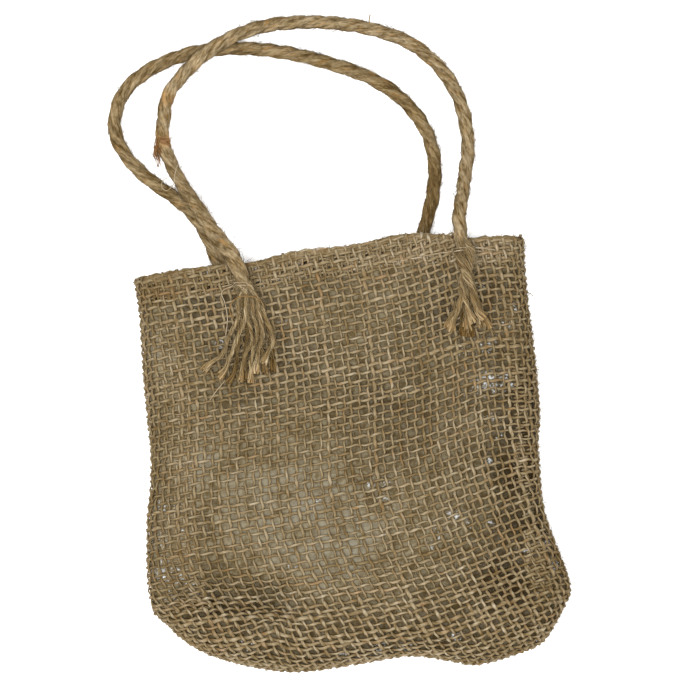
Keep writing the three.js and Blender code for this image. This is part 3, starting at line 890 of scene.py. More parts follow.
# painted highlight on the top of each yarn's tube, painted shade on its sides
TOP_PAINTED_LIGHT = 0.86 + 0.18 * np.maximum(np.sin(np.arange(YARN_SIDES) * 2 * np.pi / YARN_SIDES), 0)


def wander(count, amount, size):
    """A slow seeded wave along a yarn."""
    return amount * slow_noise(np.arange(count) * YARN_GAP / STEPS_PER_GAP, size, dice.uniform(0, 500))


def yarn_width(count):
    """Jute yarn is uneven: each has its own width, slow swells and now and then a thick slub."""
    own = float(np.clip(dice.lognormal(0.0, 0.14), 0.78, 1.45))
    swell = 1 + 0.13 * slow_noise(np.arange(count), 5, dice.uniform(0, 500))
    slub = np.maximum(slow_noise(np.arange(count), 22, dice.uniform(0, 500)) - 0.38, 0) * 1.1
    return own * (swell + slub) * dice.normal(1.0, 0.10, count)


def runs_of(kept):
    """The stretches of a yarn that stay on the wall."""
    edges = np.flatnonzero(np.diff(np.concatenate([[0], kept.astype(int), [0]])))
    return [slice(a, b) for a, b in zip(edges[::2], edges[1::2]) if b - a >= LEAST_STEPS]


def painted_place_light(x, y, over):
    """Painted light: the cloth is lighter along the hem and low rows, darker at the sides and low on the
    right.
    """
    hem = y - rim_height(x)
    # painted light on the hem's layers and over the rim; painted shade low on the right and at both sides
    hem_rows = 0.17 * smooth_step(hem, -13, -10) + 0.3 * smooth_step(hem, -0.5, 1.5)
    painted_hem_light = (0.25 + 0.75 * smooth_step(x, -75, 0)) * hem_rows
    low_right = 0.08 * smooth_step(x, 35, 65) * smooth_step(-y, 20, 55)
    sides = 0.04 * smooth_step(x, 45, 62) + 0.04 * smooth_step(-x, 40, 60)
    # painted highlight and shade on the low rows' crossings
    painted_low_row_light = 0.29 * smooth_step(-y, 44, 62) * over
    return (1 + painted_hem_light) * (1 - low_right) * (1 - sides) * (1 + painted_low_row_light)


# %% Weave a wall
def weave_yarns(lay, shift):
    """All yarns of one wall. A painted highlight makes them palest where they pass over another, and painted
    shade darker where they pass under. They lie a little aslant where they cross.
    """
    yarns = []
    for is_warp in (True, False):
        own, others = (warp_places, weft_places) if is_warp else (weft_places, warp_places)
        stations = np.arange(0, len(others) - 1, 1 / STEPS_PER_GAP)
        crossings = np.interp(stations, np.arange(len(others)), others)
        count = len(stations)
        for k, place in enumerate(own):
            phase = np.pi * (stations + k)
            line = place + wander(count, 0.40, 26) + wander(count, 0.28, 7) - FLOAT_SLANT * np.sin(phase)
            flat = shift + (flat_place(line, crossings) if is_warp else flat_place(crossings, line))
            x, y = flat.T
            close = (np.abs(x) < 125) & (y > -128) & (y < 116)
            if close.sum() < 6:
                continue
            over = np.cos(phase) * (-1 if is_warp else 1)
            points, face, kept = cloth_place(flat[close], WEAVE_RISE * over[close], lay)
            packed = 1 + 0.16 * smooth_step(-y, 50, 66) + 0.06 * smooth_step(y, 22, 40)
            width = (yarn_width(count) * packed * (0.97 + 0.08 * over))[close]
            tone = dice.normal(1.0, 0.08) * (1 + wander(count, 0.12, 18))
            # painted shade under a crossing and painted highlight over it, on top of random changes
            tone = tone * np.interp(over, (-1, 0, 1), CROSSING_PAINTED_LIGHT) * dice.normal(1.0, 0.06, count)
            tone = (tone * painted_place_light(x, y, over))[:, None] * TOP_PAINTED_LIGHT
            tone = (tone * dice.normal(1.0, 0.06, (count, YARN_SIDES)))[close]
            gold = np.clip(wander(count, 1.8, 14) - 0.55, 0, 0.8)[close]
            for part in runs_of(kept):
                wide, high = YARN_WIDE * width[part], YARN_HIGH * np.sqrt(width[part])
                yarns.append(strand(points[part], face[part], wide, high, tone[part], None, gold[part]))
    return yarns


front_yarns = weave_yarns(front_place, np.zeros(2))
print(len(front_yarns), "yarns on the front wall")

# %% [markdown]
# Two places need yarns of their own. Where the rim turns over, a weft yarn always lies right in the fold.
# And inside both sides runs the seam: its turned-in edges lie along the fold as a few yarns, and as a strip
# of weave under the front cloth, and close the gaps there.

# %% Yarns in the rim and along the seams
SEAM_UNDER = 1.3
SEAM_STRIPS = (-63.0, 69.0)
SEAM_SHIFT = np.array([1.5, 1.3])
HALF_WIDTH = 80.0
# how far past the turn each rim yarn lies
RIM_YARNS = (-0.9, 0.1, 1.1, 2.1)
# columns: how far inside the fold a seam yarn lies, and how far below it
SEAM_YARNS = ((1.3, 0.2), (2.3, 0.9), (3.3, 0.3), (4.4, 1.0))


def rim_yarn(past):
    x = np.arange(-79.0, 77.0, 1.2)
    flat = np.column_stack([x, np.interp(x, *rim_table) - TURN_START + past + wander(len(x), 0.5, 12)])
    points, face, kept = cloth_place(flat, 0.7 * slow_noise(x, 1.6, past) - 0.55, front_place)
    width = YARN_WIDE * (1.35 * yarn_width(len(x)))
    # rim yarns in the fold are painted darker, a painted shade, with random changes
    tone = dice.uniform(0.62, 0.82) * (1 + wander(len(x), 0.12, 6)) * dice.normal(1.0, 0.14, len(x))
    return [strand(points[part], face[part], width[part], YARN_HIGH, tone[part]) for part in runs_of(kept)]


def seam_yarn(side, inside, lower):
    rows = np.flatnonzero(outline_out[:, 0] * side > 0.72)[4:-4:2]
    place = outline_line[rows] - (inside + wander(len(rows), 0.4, 12))[:, None] * outline_out[rows]
    height = fold_up[rows] - lower + wander(len(rows), 0.3, 8)
    points = np.column_stack([place, np.maximum(height, MID_CLOTH)])
    # seam yarns inside the fold are painted darker, a painted shade, with random changes
    tone = dice.uniform(0.7, 0.9) * (1 + wander(len(rows), 0.15, 8))
    return strand(points, UP, YARN_WIDE * yarn_width(len(rows)), YARN_HIGH, tone)


def seam_place(flat):
    """The strips of weave that the seams turn in, a little under the front cloth."""
    laid, past = front_place(flat)
    laid[:, 0] *= 1 - SEAM_UNDER / HALF_WIDTH
    laid[:, 2] = np.maximum(laid[:, 2] - SEAM_UNDER, MID_CLOTH)
    strip = (flat[:, 0] < SEAM_STRIPS[0]) | (flat[:, 0] > SEAM_STRIPS[1])
    strip = strip & (past < -8) & (np.abs(flat[:, 1]) < 60)
    return laid, np.where(strip, past, 2 * WRAP_PAST_FLOOR)


def cloth_piece(name, yarns):
    return tube_piece(name, yarns, YARN_SIDES, cloth_jute, "bag_cloth")


edge_yarns = weave_yarns(seam_place, SEAM_SHIFT)
for past in RIM_YARNS:
    edge_yarns += rim_yarn(past)
for inside, lower in SEAM_YARNS:
    edge_yarns += [seam_yarn(-1, inside, lower), seam_yarn(1, inside, lower)]
cloth_front = cloth_piece("cloth_front", front_yarns)
cloth_edges = cloth_piece("cloth_edges", edge_yarns)

# %% [markdown]
# The back wall lies flat on the surface, except near the mouth, where the back rope's ends hold it up. Its
# edges lie inside the turned edges of the front cloth, as a seam's allowance does. It was cut elsewhere on
# the loom's length, so its yarns do not meet the front wall's: a shift of half a gap keeps the floor from
# showing through both walls.

# %% Back wall
SEAM_ALLOWANCE = 5.6
BACK_EDGE = BACK_ROUND * 8.0
SEAM_LIFT = 1.9
BACK_SHIFT = np.array([1.6, 1.45])


def back_place(flat):
    _, run = outline_place(flat)
    x, y = flat.T
    rim_drop = smooth_step(y, 55, 75) * (1.0 + 1.8 * smooth_step(np.abs(x), 55, 78))
    edge = run - REACH_IN + BACK_EDGE
    height = MID_CLOTH + lift_height(x, y) + SEAM_LIFT * smooth_step(edge, -9.0, -2.0)
    return np.column_stack([x, y - rim_drop, height]), edge - SEAM_ALLOWANCE


back_yarns = weave_yarns(back_place, BACK_SHIFT)
cloth_back = cloth_piece("cloth_back", back_yarns)

# %% [markdown]
# The liner is a bag of clear film, a little smaller than the cloth, that was pushed in and crinkled. It
# shows in every gap of the weave as a grey veil with small bright glints. Real film is about 0.05 mm thick,
# so one sheet of faces without thickness is enough. It follows the solid's own wall, and seeded noise
# crinkles it.

# %% Film liner
FILM_INSET = 2.25
FILM_DROP = 11.5
QUARTER = np.pi / 2
FOLD_STEPS = 11
ACROSS_STEPS = 64
DOWN_STEPS = 70


def film_stations():
    quarter = np.linspace(0, QUARTER, FOLD_STEPS)
    middle = np.linspace(0, 1, ACROSS_STEPS + 2)[1:-1]
    whole = np.ones(FOLD_STEPS)
    side = np.concatenate([-whole, 0 * middle, whole])
    column_angle = np.concatenate([quarter, np.full(ACROSS_STEPS, QUARTER), quarter[::-1]])
    column_share = np.concatenate([0 * whole, middle, whole])
    row_angle = np.concatenate([np.full(DOWN_STEPS, QUARTER), quarter[::-1][1:]])
    row_share = np.concatenate([np.linspace(0, 1, DOWN_STEPS), whole[1:]])
    return side[None], column_angle[None], column_share[None], row_angle[:, None], row_share[:, None]


def film_wall(front):
    side, column_angle, column_share, row_angle, row_share = film_stations()

    def towards(near, far, angle):
        return (near + far) / 2 + ((near if front else far) - (near + far) / 2) * np.sin(angle)

    def rounded(wide, angle):
        return FILM_INSET + (wide - FILM_INSET) * (1 - np.cos(angle))

    length = length_at(column_share)
    roll = towards(BOTTOM_ROLL_FRONT, BOTTOM_ROLL_BACK, column_angle)
    straight = FILM_DROP + (length - roll - FILM_DROP) * row_share
    drop = np.where(row_share < 1, straight, length - rounded(roll, row_angle))
    down = drop / length
    depth, fold, slope = (smooth_column(SECTIONS, column, down) for column in (1, 2, 3))
    width = width_at(down)
    slope = towards(slope, fold * BACK_ROUND, row_angle)
    edge = rounded(slope, column_angle)
    between = slope + (width - 2 * slope) * column_share
    across = np.where(side < 0, edge, np.where(side > 0, width - edge, between)) / width
    place = plan(across, down)
    x, y = place[..., 0], place[..., 1]
    full = np.sin(column_angle) * np.sin(row_angle)
    rise = depth - fold - FILM_INSET + crease_height(x, y) if front else FILM_INSET - fold
    return np.stack([x, y, fold + rise * full + lift_height(x, y)], -1)


def grid_faces(rows, columns, first, flipped):
    corner = first + np.arange(rows - 1)[:, None] * columns + np.arange(columns - 1)[None]
    faces = np.stack([corner, corner + columns, corner + columns + 1, corner + 1], -1).reshape(-1, 4)
    return faces[:, ::-1] if flipped else faces


walls = [film_wall(True), film_wall(False)]
high, wide = walls[0].shape[:2]
faces = np.concatenate([grid_faces(high, wide, 0, False), grid_faces(high, wide, high * wide, True)])
film = mesh_piece("film_sheet", np.concatenate([wall.reshape(-1, 3) for wall in walls]), faces.tolist())
bpy.ops.object.select_all(action="DESELECT")
bpy.context.view_layer.objects.active = film
film.select_set(True)
bpy.ops.object.mode_set(mode="EDIT")
bpy.ops.mesh.select_all(action="SELECT")
bpy.ops.mesh.remove_doubles(threshold=0.00005)
bpy.ops.object.mode_set(mode="OBJECT")

# %% Crinkles, and patches of painted shade, painted reflection and painted glints on the film
CRINKLE_LARGE = 0.55
CRINKLE_SMALL = 0.22


def crinkle(vertex):
    place = vertex.co * 1000
    large = abs(noise.noise(place / 11.0)) - 0.25
    small = abs(noise.noise(place / 4.5 + place.normalized() * 0.01)) - 0.25
    return CRINKLE_LARGE * large + CRINKLE_SMALL * small


# columns: x, y, radius of a patch of painted shade, as where the film lies deep, and how dark (1 is out of
# sight)
PAINTED_SHADE_PATCHES = [
    (73, 20, 13, 0.88), (72, 4, 12, 0.85), (70, -12, 15, 0.9), (70, -34, 15, 0.85), (60, -56, 18, 0.9),
    (34, -76, 18, 0.5), (4, -76, 17, 0.45), (-24, -74, 16, 0.45), (-60, -55, 9, 0.9), (-45, -58, 11, 0.7),
    (-70, -54, 6, 0.8), (-36, 50, 18, 0.5), (46, 56, 14, 0.6), (56, 62, 10, 0.6), (10, 24, 22, 0.25),
    (-10, 40, 16, 0.2), (-56, 64, 15, 0.5),
]
# columns: x, y, radius of a patch of painted reflection, as where the film touches the cloth, and how much
# it pales the gaps
PAINTED_REFLECTION_PATCHES = [
    (-25, -16, 34, 1.0), (-8, -36, 25, 1.1), (5, 57, 28, 0.45), (-60, 5, 26, 0.7), (-74, 56, 16, 1.0),
    (20, -28, 22, 0.5), (-74, -30, 15, 0.7), (10, 70, 24, 0.3),
]
# columns: x, y, radius of a patch where the film is glossier, more crinkled and has painted glints, and how
# strong
GLOSS_AND_PAINTED_GLINTS = [
    (59, 26, 6, 1.0), (66, 26, 4, 1.0), (54, 27, 4, 0.9), (47, 22, 2.5, 0.7), (60, 40, 6, 0.6),
    (50, 40, 5, 0.5), (59, 12, 2, 0.9), (62, 4, 2, 0.9), (8, -11, 3, 0.8), (14, -12, 3, 0.7),
    (14, -19, 3, 0.8), (-14, -16, 2, 1.0), (-8, -14, 1.6, 0.9), (60, 66, 2, 1.0), (66, 60, 2, 0.7),
    (68, 51, 3.5, 0.8), (73, 56, 3, 0.7), (-49, 50, 2.4, 1.0), (-22, 58, 3, 0.6), (-22, 40, 1.6, 0.9),
    (57, -6, 2, 0.9), (41, -27, 3.5, 0.75), (34, -33, 3.5, 0.8), (47, -30, 3, 0.6), (54, -31, 3, 0.55),
    (30, -38, 2.5, 0.8), (68, -44, 4, 0.7), (80, -40, 4, 0.9), (81, -50, 5, 1.0), (73, -61, 3, 0.8),
    (-80, -27, 5, 0.8), (-70, -25, 4, 0.6), (-80, -40, 6, 0.8), (-71, -44, 6, 0.8), (-77, -50, 4, 0.8),
    (-66, -48, 4, 0.6), (-78, -14, 5, 0.7), (-71, -16, 4, 0.6), (-27, -43, 2.5, 0.9), (-47, -72, 4, 0.7),
    (-8, -81, 4, 0.7), (6, -79, 5, 0.7), (17, -79, 4, 0.7), (38, -76, 4, 0.7),
]

# %% Paint and crinkle
def patch_share(flat, patches):
    """How far inside the nearest patch of a table each place lies."""
    away = [np.hypot(flat[:, 0] - x, flat[:, 1] - y) / radius for x, y, radius, _ in patches]
    amounts = np.array(patches)[:, 3:]
    return np.max(amounts * np.exp(-(np.array(away) ** 2)), axis=0)


moves = [vertex.normal * crinkle(vertex) * MM for vertex in film.data.vertices]
film_flat = np.array([vertex.co[:2] for vertex in film.data.vertices]) * 1000
painted_shade_depth, painted_reflection = patch_share(film_flat, PAINTED_SHADE_PATCHES), patch_share(film_flat, PAINTED_REFLECTION_PATCHES)
# painted light of the film: painted shade in the deep patches, painted reflection where it touches the cloth
paint(film, "painted_film_light", 0.5 * (1 - painted_shade_depth) * (1 + painted_reflection))
# gloss and crinkles, and painted glints, in the glint patches
paint(film, "gloss_and_painted_glint", patch_share(film_flat, GLOSS_AND_PAINTED_GLINTS))
for vertex, move in zip(film.data.vertices, moves):
    vertex.co += move
film.data.update()
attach(film, "root")
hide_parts("film_liner")
print("film:", len(film.data.polygons), "faces")

# %% Film material
def film_material():
    """Grey film with painted shade where it lies deep and painted reflection where it touches the cloth.
    In the glinting patches it has painted glints, and is smooth and steeply crinkled.
    """
    material, tree, shader = new_material("crinkled_film", {"Specular IOR Level": 0.02, "Alpha": 0.94})
    place = add_node(tree, "ShaderNodeTexCoord").outputs["Object"]
    gloss_and_painted_glint = add_layer(tree, "gloss_and_painted_glint")
    fold = add_noise(tree, place, 760.0, 3.0)
    cloud = add_range(tree, add_noise(tree, place, 90.0, 3.0), 0.3, 0.7, 0.7, 1.2)
    lint = add_range(tree, add_noise(tree, place, 480.0, 4.0), 0.38, 0.62)
    painted_film_light = add_math(tree, "MULTIPLY", add_layer(tree, "painted_film_light"), cloud)
    shade = add_mix(tree, lint, (0.084, 0.058, 0.023, 1), (0.172, 0.142, 0.086, 1))
    # painted shade: nearly black where the film lies deep
    shade = add_mix(tree, add_range(tree, painted_film_light, 0.0, 0.8), (0.010, 0.005, 0.001, 1), shade)
    # painted reflection: pale grey where the film touches the cloth
    shade = add_mix(tree, add_range(tree, painted_film_light, 0.7, 1.15, 0.0, 0.8), shade, (0.185, 0.170, 0.130, 1))
    # painted glints: pale spots on the crinkles in the glint patches
    painted_glint = add_range(tree, add_math(tree, "MULTIPLY_ADD", gloss_and_painted_glint, 0.3, fold), 0.68, 0.90)
    painted_glint = add_math(tree, "MULTIPLY", painted_glint, add_range(tree, gloss_and_painted_glint, 0.1, 0.5))
    shade = add_mix(tree, painted_glint, shade, (0.50, 0.51, 0.50, 1))
    tree.links.new(shade, shader.inputs["Base Color"])
    tree.links.new(add_range(tree, gloss_and_painted_glint, 0.0, 0.6, 0.5, 0.08), shader.inputs["Roughness"])
    add_bump(tree, shader, fold, 1.6, add_range(tree, gloss_and_painted_glint, 0.0, 1.0, 0.1, 1.0))
    return material


film.data.materials.append(film_material())

# %% [markdown]
# Below the hem the rope is untwisted into its yarns, which fan out over the front wall and open into soft
# brushes at their cut ends. A hair system would be too fine for the yarns, so each is a bundle of thin
# tubes on its own route, read off the photograph in the picture's directions: millimetres to the right and
# down from the stitches. Each row starts with the yarn's layer and its tone.

# %% Routes of the frayed yarns
# an opening says how far right and down the bundle opens, and how thick it is there
LEFT_START, LEFT_LEAN, LEFT_OPENING = (-37.0, 74.2), -2.6, (1.6, 4.0, 2.7)
LEFT_YARNS = [
    (1, 1.06, [(-2.0, 4), (-2.5, 9.8), (-2.2, 14.1), (-4.7, 18.8), (-6.7, 23.9), (-9.0, 29.4), (-13.3, 32.5),
               (-16.8, 36.0)]),
    (2, 1.08, [(1.0, 4), (1.0, 10.6), (0.6, 14.9), (-1.2, 19.2), (-3.5, 24.3), (-5.7, 30.2), (-7.8, 35.3),
               (-10.4, 38.6)]),
    (0, 0.98, [(-0.8, 4), (-0.9, 11.5), (-1.6, 17.6), (-2.5, 25.5), (-2.9, 31.4), (-4.3, 37.2),
               (-6.9, 41.2)]),
    (1, 0.95, [(1.6, 5), (1.8, 15.3), (3.1, 20.8), (3.1, 24.3), (1.0, 27.8), (-0.4, 32.5), (-0.8, 36.8),
               (-1.3, 40.4)]),
    (1, 1.04, [(3.1, 4), (3.7, 11.4), (5.1, 17.6), (5.3, 21.6), (3.9, 26.7), (3.1, 31.8), (2.7, 36.8),
               (2.5, 40.8)]),
    (2, 1.08, [(4.4, 4), (6.3, 11.4), (7.5, 17.2), (7.5, 22), (6.1, 27), (5.2, 31.8), (4.7, 37.0)]),
    (1, 1.06, [(5.3, 4.2), (8.6, 13.7), (11.4, 20.8), (11.7, 24.7), (9.6, 28.8), (7.8, 33.0)]),
    (0, 0.92, [(4.0, 5), (5.9, 16), (7.0, 24.7), (8.0, 31.4), (8.4, 37.2)]),
    (0, 0.88, [(5.6, 5), (9.6, 17.0), (11.4, 27.4), (11.6, 36.4)]),
    (0, 0.80, [(0.2, 5), (1.0, 15), (1.4, 22), (0.4, 31.4), (0.6, 40.0)]),
]
RIGHT_START, RIGHT_LEAN, RIGHT_OPENING = (53.5, 81.5), -1.8, (1.2, 17.0, 3.2)
RIGHT_YARNS = [
    (1, 1.04, [(-1.6, 5.7), (-1.7, 12.6), (-1.3, 19.0), (-3.4, 24.5), (-5.6, 29.2), (-7.0, 33.6)]),
    (2, 1.00, [(-0.6, 8.2), (-0.8, 18.0), (-2.4, 24.2), (-4.8, 29.4), (-6.0, 34.3)]),
    (0, 0.80, [(0.0, 6.6), (0.2, 17.6), (-0.4, 24.5), (-0.6, 30.1), (-0.8, 36.0)]),
    (1, 0.86, [(1.3, 6.0), (0.8, 15.7), (0.6, 21.7), (0.8, 26.7), (0.9, 33.8)]),
    (2, 1.08, [(1.9, 5.7), (2.8, 14.4), (3.4, 20.7), (5.2, 25.7), (8.2, 28.6)]),
    (1, 1.00, [(3.1, 5.7), (3.8, 13.8), (5.0, 21.4), (6.6, 27.0), (9.4, 31.0), (10.4, 33.0)]),
    (0, 0.84, [(1.0, 6), (1.7, 17.6), (2.2, 24.2), (2.5, 31.1), (2.6, 36.4)]),
    (2, 1.04, [(-2.3, 6.0), (-2.2, 11.3), (-1.2, 17.0), (0.4, 22.6), (2.4, 27.0), (4.2, 30.6)]),
    (1, 1.06, [(2.5, 6), (3.2, 12), (3.8, 19), (5.4, 25), (7.6, 32.4)]),
]
PICTURE_RIGHT = np.array([math.cos(VIEW_TURN), math.sin(VIEW_TURN)])
PICTURE_DOWN = np.array([math.sin(VIEW_TURN), -math.cos(VIEW_TURN)])
print(len(LEFT_YARNS), "and", len(RIGHT_YARNS), "frayed yarns show")

# %% Centre lines of the frayed yarns
FRAY_THICK = 1.7
LAYER_RISE = 0.9
ROPE_ABOVE_WALL = 3.0


def fray_route(start, lean, opening, route, layer, seed):
    """A yarn's centre line, and how far it has opened. It winds on below the stitches, then fans out."""
    middle, until, bundle = opening
    rows = [(lean, -7.0), (middle / 2, -1.0)] + list(route)
    flat = smooth_route([(right, down, 0.0) for right, down in rows], 0.8)
    right, down = flat[:, 0], flat[:, 1]
    side = np.interp(until, down, right) - middle
    turn = math.atan2(layer - 0.9, side) - 2 * np.pi * (down - until) / ROPE_LAY
    centre = np.interp(down, (-7, 0, until), (lean, 0, middle))
    reach = bundle * (0.6 + 0.4 * (seed % 2)) * (1 - 0.25 * smooth_step(down, 2, until))
    reach = reach * (0.5 + 0.5 * smooth_step(down, -7, 1))
    spread = smooth_step(down, until - 4, until + 4)
    right = (centre + reach * np.cos(turn)) * (1 - spread) + right * spread + 0.4 * slow_noise(down, 5, seed)
    place = np.array(start) + right[:, None] * PICTURE_RIGHT + down[:, None] * PICTURE_DOWN
    rest = FRAY_THICK / 2 + layer * LAYER_RISE * (1 + 0.6 * (1 - smooth_step(down, until, until + 14)))
    wound = ROPE_ABOVE_WALL + 0.9 * reach * np.sin(turn)
    wall = front_height(place[:, 0], place[:, 1], 0)
    return np.column_stack([place, wall + wound + (rest - wound) * spread]), spread


# %% Make the frayed ends
FRAY_STRANDS = 15
FRAY_SIDES = 5
STRAND_THICK = 0.56
# painted shade on the lowest layer of yarns and painted light on the top one, once they fan out; the wound
# bundle below the stitches is painted lighter
LAYER_PAINTED_LIGHT = (0.58, 0.98, 1.10)
WOUND_PAINTED_LIGHT = 1.28
TIP_LENGTH = 7.0
# painted brightness of each frayed end: the right one is painted darker, a painted shade
LEFT_LIGHT, RIGHT_LIGHT = 1.0, 0.87
LEFT_FULL, RIGHT_FULL = 0.72, 0.84


def fray_yarn(points, tone, fullness, count):
    """One untwisted yarn: thin strands that wind round its line and spread into a brush at the tip."""
    along = run_lengths(points)
    forward = tangents_of(points)
    across = unit(np.cross(forward, UP))
    above = np.cross(across, forward)
    opened = 1 - smooth_step(along[-1] - along, 0.0, TIP_LENGTH)
    strands = []
    for k in range(count):
        seed = dice.uniform(0, 500)
        turn = k * 2.4 + np.minimum(along, along[-1] - TIP_LENGTH) / 2.2 + 0.8 * slow_noise(along, 6, seed)
        reach = fullness * math.sqrt((k + 0.5) / count) * (1 + 0.45 * slow_noise(along, 3, seed + 1))
        wide = reach * (1 + 1.1 * opened)
        high = reach * (1 + 0.4 * opened)
        line = points + (np.cos(turn) * wide)[:, None] * across + (np.sin(turn) * high)[:, None] * above
        keep = len(points) - int(dice.integers(0, 3))
        thick = STRAND_THICK * dice.uniform(0.55, 1.25) * (1 + 0.8 * opened)
        tones = tone * dice.uniform(0.60, 1.20) * (1 + 0.2 * slow_noise(along, 6, seed + 2) + 0.2 * opened)
        gold = dice.uniform(0, 0.4) + opened * dice.uniform(0.0, 0.6)
        part = slice(0, keep)
        strands.append(strand(line[part], UP, thick[part], thick[part], tones[part], None, gold[part]))
    return strands


def frayed_end(name, node, routes, fullness, count):
    strands = []
    for points, tone in routes:
        strands += fray_yarn(points, tone, fullness, count)
    return tube_piece(name, strands, FRAY_SIDES, yarn_jute, node)


def shown_routes(start, lean, opening, light, yarns):
    routes = []
    for k, (layer, tone, route) in enumerate(yarns):
        points, spread = fray_route(start, lean, opening, route, layer, k)
        routes.append((points, light * tone * (WOUND_PAINTED_LIGHT + (LAYER_PAINTED_LIGHT[layer] - WOUND_PAINTED_LIGHT) * spread)))
    return routes


left_routes = shown_routes(LEFT_START, LEFT_LEAN, LEFT_OPENING, LEFT_LIGHT, LEFT_YARNS)
right_routes = shown_routes(RIGHT_START, RIGHT_LEAN, RIGHT_OPENING, RIGHT_LIGHT, RIGHT_YARNS)
fray_front_left = frayed_end("fray_front_left", "frayed_end_front_left", left_routes, LEFT_FULL,
                             FRAY_STRANDS)
fray_front_right = frayed_end("fray_front_right", "frayed_end_front_right", right_routes, RIGHT_FULL,
                              FRAY_STRANDS)

# %% Frayed ends under the back wall
HIDDEN_YARNS = 9
# how far the strands of a hidden yarn reach, and how many they are
HIDDEN_YARN = (0.4, 6)
HIDDEN_TONE = 0.95
HIDDEN_SPREAD = 36
HIDDEN_SHORT, HIDDEN_LONG = 24, 30


def hidden_routes(end, heading):
    """Yarns in a fan from a rope's end. They head left of straight down by an angle in degrees."""
    routes = []
    for k in range(HIDDEN_YARNS):
        share = k / (HIDDEN_YARNS - 1) - 0.5
        length = HIDDEN_LONG + (HIDDEN_SHORT - HIDDEN_LONG) * ((k * 2) % 5) / 4
        way = np.linspace(0, 1, 34)
        turn = np.radians(heading - HIDDEN_SPREAD * share) * np.minimum(1, 0.35 + way)
        run = length * way + 4 * way - 2
        x = end[0] + share * 3.5 * (1 - way) - np.sin(turn) * run
        y = end[1] - np.cos(turn) * run
        z = end[2] + (1.3 + (k % 2) * 1.3 * (1 - 0.4 * way) - end[2]) * np.minimum(1, way / 0.6)
        routes.append((np.column_stack([x, y, z]), HIDDEN_TONE))
    return routes


back_left, back_right = hidden_routes(back_route[0], -8), hidden_routes(back_route[-1], -4)
fray_back_left = frayed_end("fray_back_left", "frayed_end_back_left", back_left, *HIDDEN_YARN)
fray_back_right = frayed_end("fray_back_right", "frayed_end_back_right", back_right, *HIDDEN_YARN)

# %% [markdown]
# The handles are sewn on by hand with pale thread: back stitches over each rope where it crosses the hem,
# and a line of stitches along the hem beside the right rope. A stitch over a rope comes up beside it and
# goes down again, so it is half a ring. The running stitches lie on the cloth and dip into it at both ends.

# %% Hem stitching
THREAD = 0.5
STITCH_SIDES = 6
# columns: x and y of a stitch's ends, how high it arches over the wall
STITCHES = [
    (-41.4, 74.6, -33.2, 74.0, 6.4), (-40.8, 73.6, -33.0, 72.6, 6.3), (49.2, 81.3, 57.6, 81.5, 6.4),
    (48.8, 80.0, 53.6, 80.6, 6.0), (48.7, 80.4, 44.6, 79.9, 0.5), (45.2, 80.3, 40.2, 79.6, 0.5),
    (40.8, 79.9, 36.4, 79.2, 0.5), (36.0, 79.1, 31.4, 78.5, 0.4), (30.0, 78.4, 27.2, 78.1, 0.3),
    (25.8, 78.0, 23.6, 77.8, 0.3), (57.6, 81.2, 61.4, 80.5, 0.4), (62.6, 80.2, 65.6, 79.7, 0.3),
    (-25.9, 74.6, -22.6, 74.8, 0.4), (-42.0, 74.0, -46.0, 73.2, 0.4), (57.2, 80.1, 60.2, 79.2, 0.4),
]


def stitch_line(x0, y0, x1, y1, arch):
    way = np.linspace(0, 1, 15)
    x, y = x0 + (x1 - x0) * (0.5 - 0.5 * np.cos(np.pi * way)), y0 + (y1 - y0) * way
    wall = front_height(x, y, 0)
    rise = np.sin(np.pi * way) ** (0.7 if arch > 1 else 0.5)
    return np.column_stack([x, y, wall - 0.5 + (arch + 0.5) * rise])


stitches = [strand(stitch_line(*row), UP, THREAD, THREAD, dice.uniform(0.7, 1.0)) for row in STITCHES]
hem_stitches = tube_piece("hem_stitches", stitches, STITCH_SIDES, thread_jute)

# %% [markdown]
# A few long threads have come loose: two pale ones and a golden loop at the left frayed end, a pale curl
# where the ropes part, a straw on the upper loop and one at the right side. They follow the photograph one
# by one.

# %% Loose threads
THREAD_SIDES = 5


def thread_piece(name, jute, strands):
    return tube_piece(name, strands, THREAD_SIDES, jute)


def loose_thread(thick, rows, on_wall=True):
    points = smooth_route(rows, 0.7)
    if on_wall:
        points[:, 2] += front_height(points[:, 0], points[:, 1], 0)
    return strand(points, UP, thick, thick, 1.0)


pale_threads = thread_piece("pale_threads", thread_jute, [
    loose_thread(0.34, [(-40.6, 74.3, 4.0), (-42.4, 73.0, 1.0), (-45.4, 72.0, 0.8), (-46.4, 70.6, 0.9),
                        (-45.4, 66.8, 1.1), (-44.8, 61.0, 1.0), (-45.3, 57.0, 0.9), (-46.2, 53.3, 0.3)]),
    loose_thread(0.36, [(-47.6, 35.4, 1.5), (-49.6, 33.4, 1.1), (-52.4, 30.4, 0.9), (-54.6, 27.7, 0.8)]),
])
golden_loop = thread_piece("golden_loop", gold_jute, [
    loose_thread(0.42, [(-31.0, 65.6, 4.2), (-32.3, 67.6, 5.8), (-35.8, 68.6, 6.9), (-39.1, 68.6, 6.4),
                        (-41.2, 67.7, 4.2), (-42.4, 66.4, 2.4), (-43.6, 64.1, 1.3), (-43.2, 61.3, 1.0),
                        (-42.1, 60.0, 0.7)]),
])
side_straw = thread_piece("side_straw", yarn_jute, [
    loose_thread(0.34, [(76.6, 62.1, 0.2), (78.2, 61.4, 0.6), (79.4, 60.8, 0.9), (80.6, 59.6, 1.0)]),
])
rope_curl = thread_piece("rope_curl", thread_jute, [
    loose_thread(0.34, [(-60.8, 125.1, 5.6), (-62.1, 121.4, 7.4), (-62.9, 117.4, 7.2), (-64.6, 115.6, 6.4),
                        (-66.3, 114.7, 6.4), (-68.0, 116.5, 6.2), (-67.5, 119.0, 5.4), (-65.9, 119.9, 5.0),
                        (-64.2, 120.7, 4.6)], False),
])
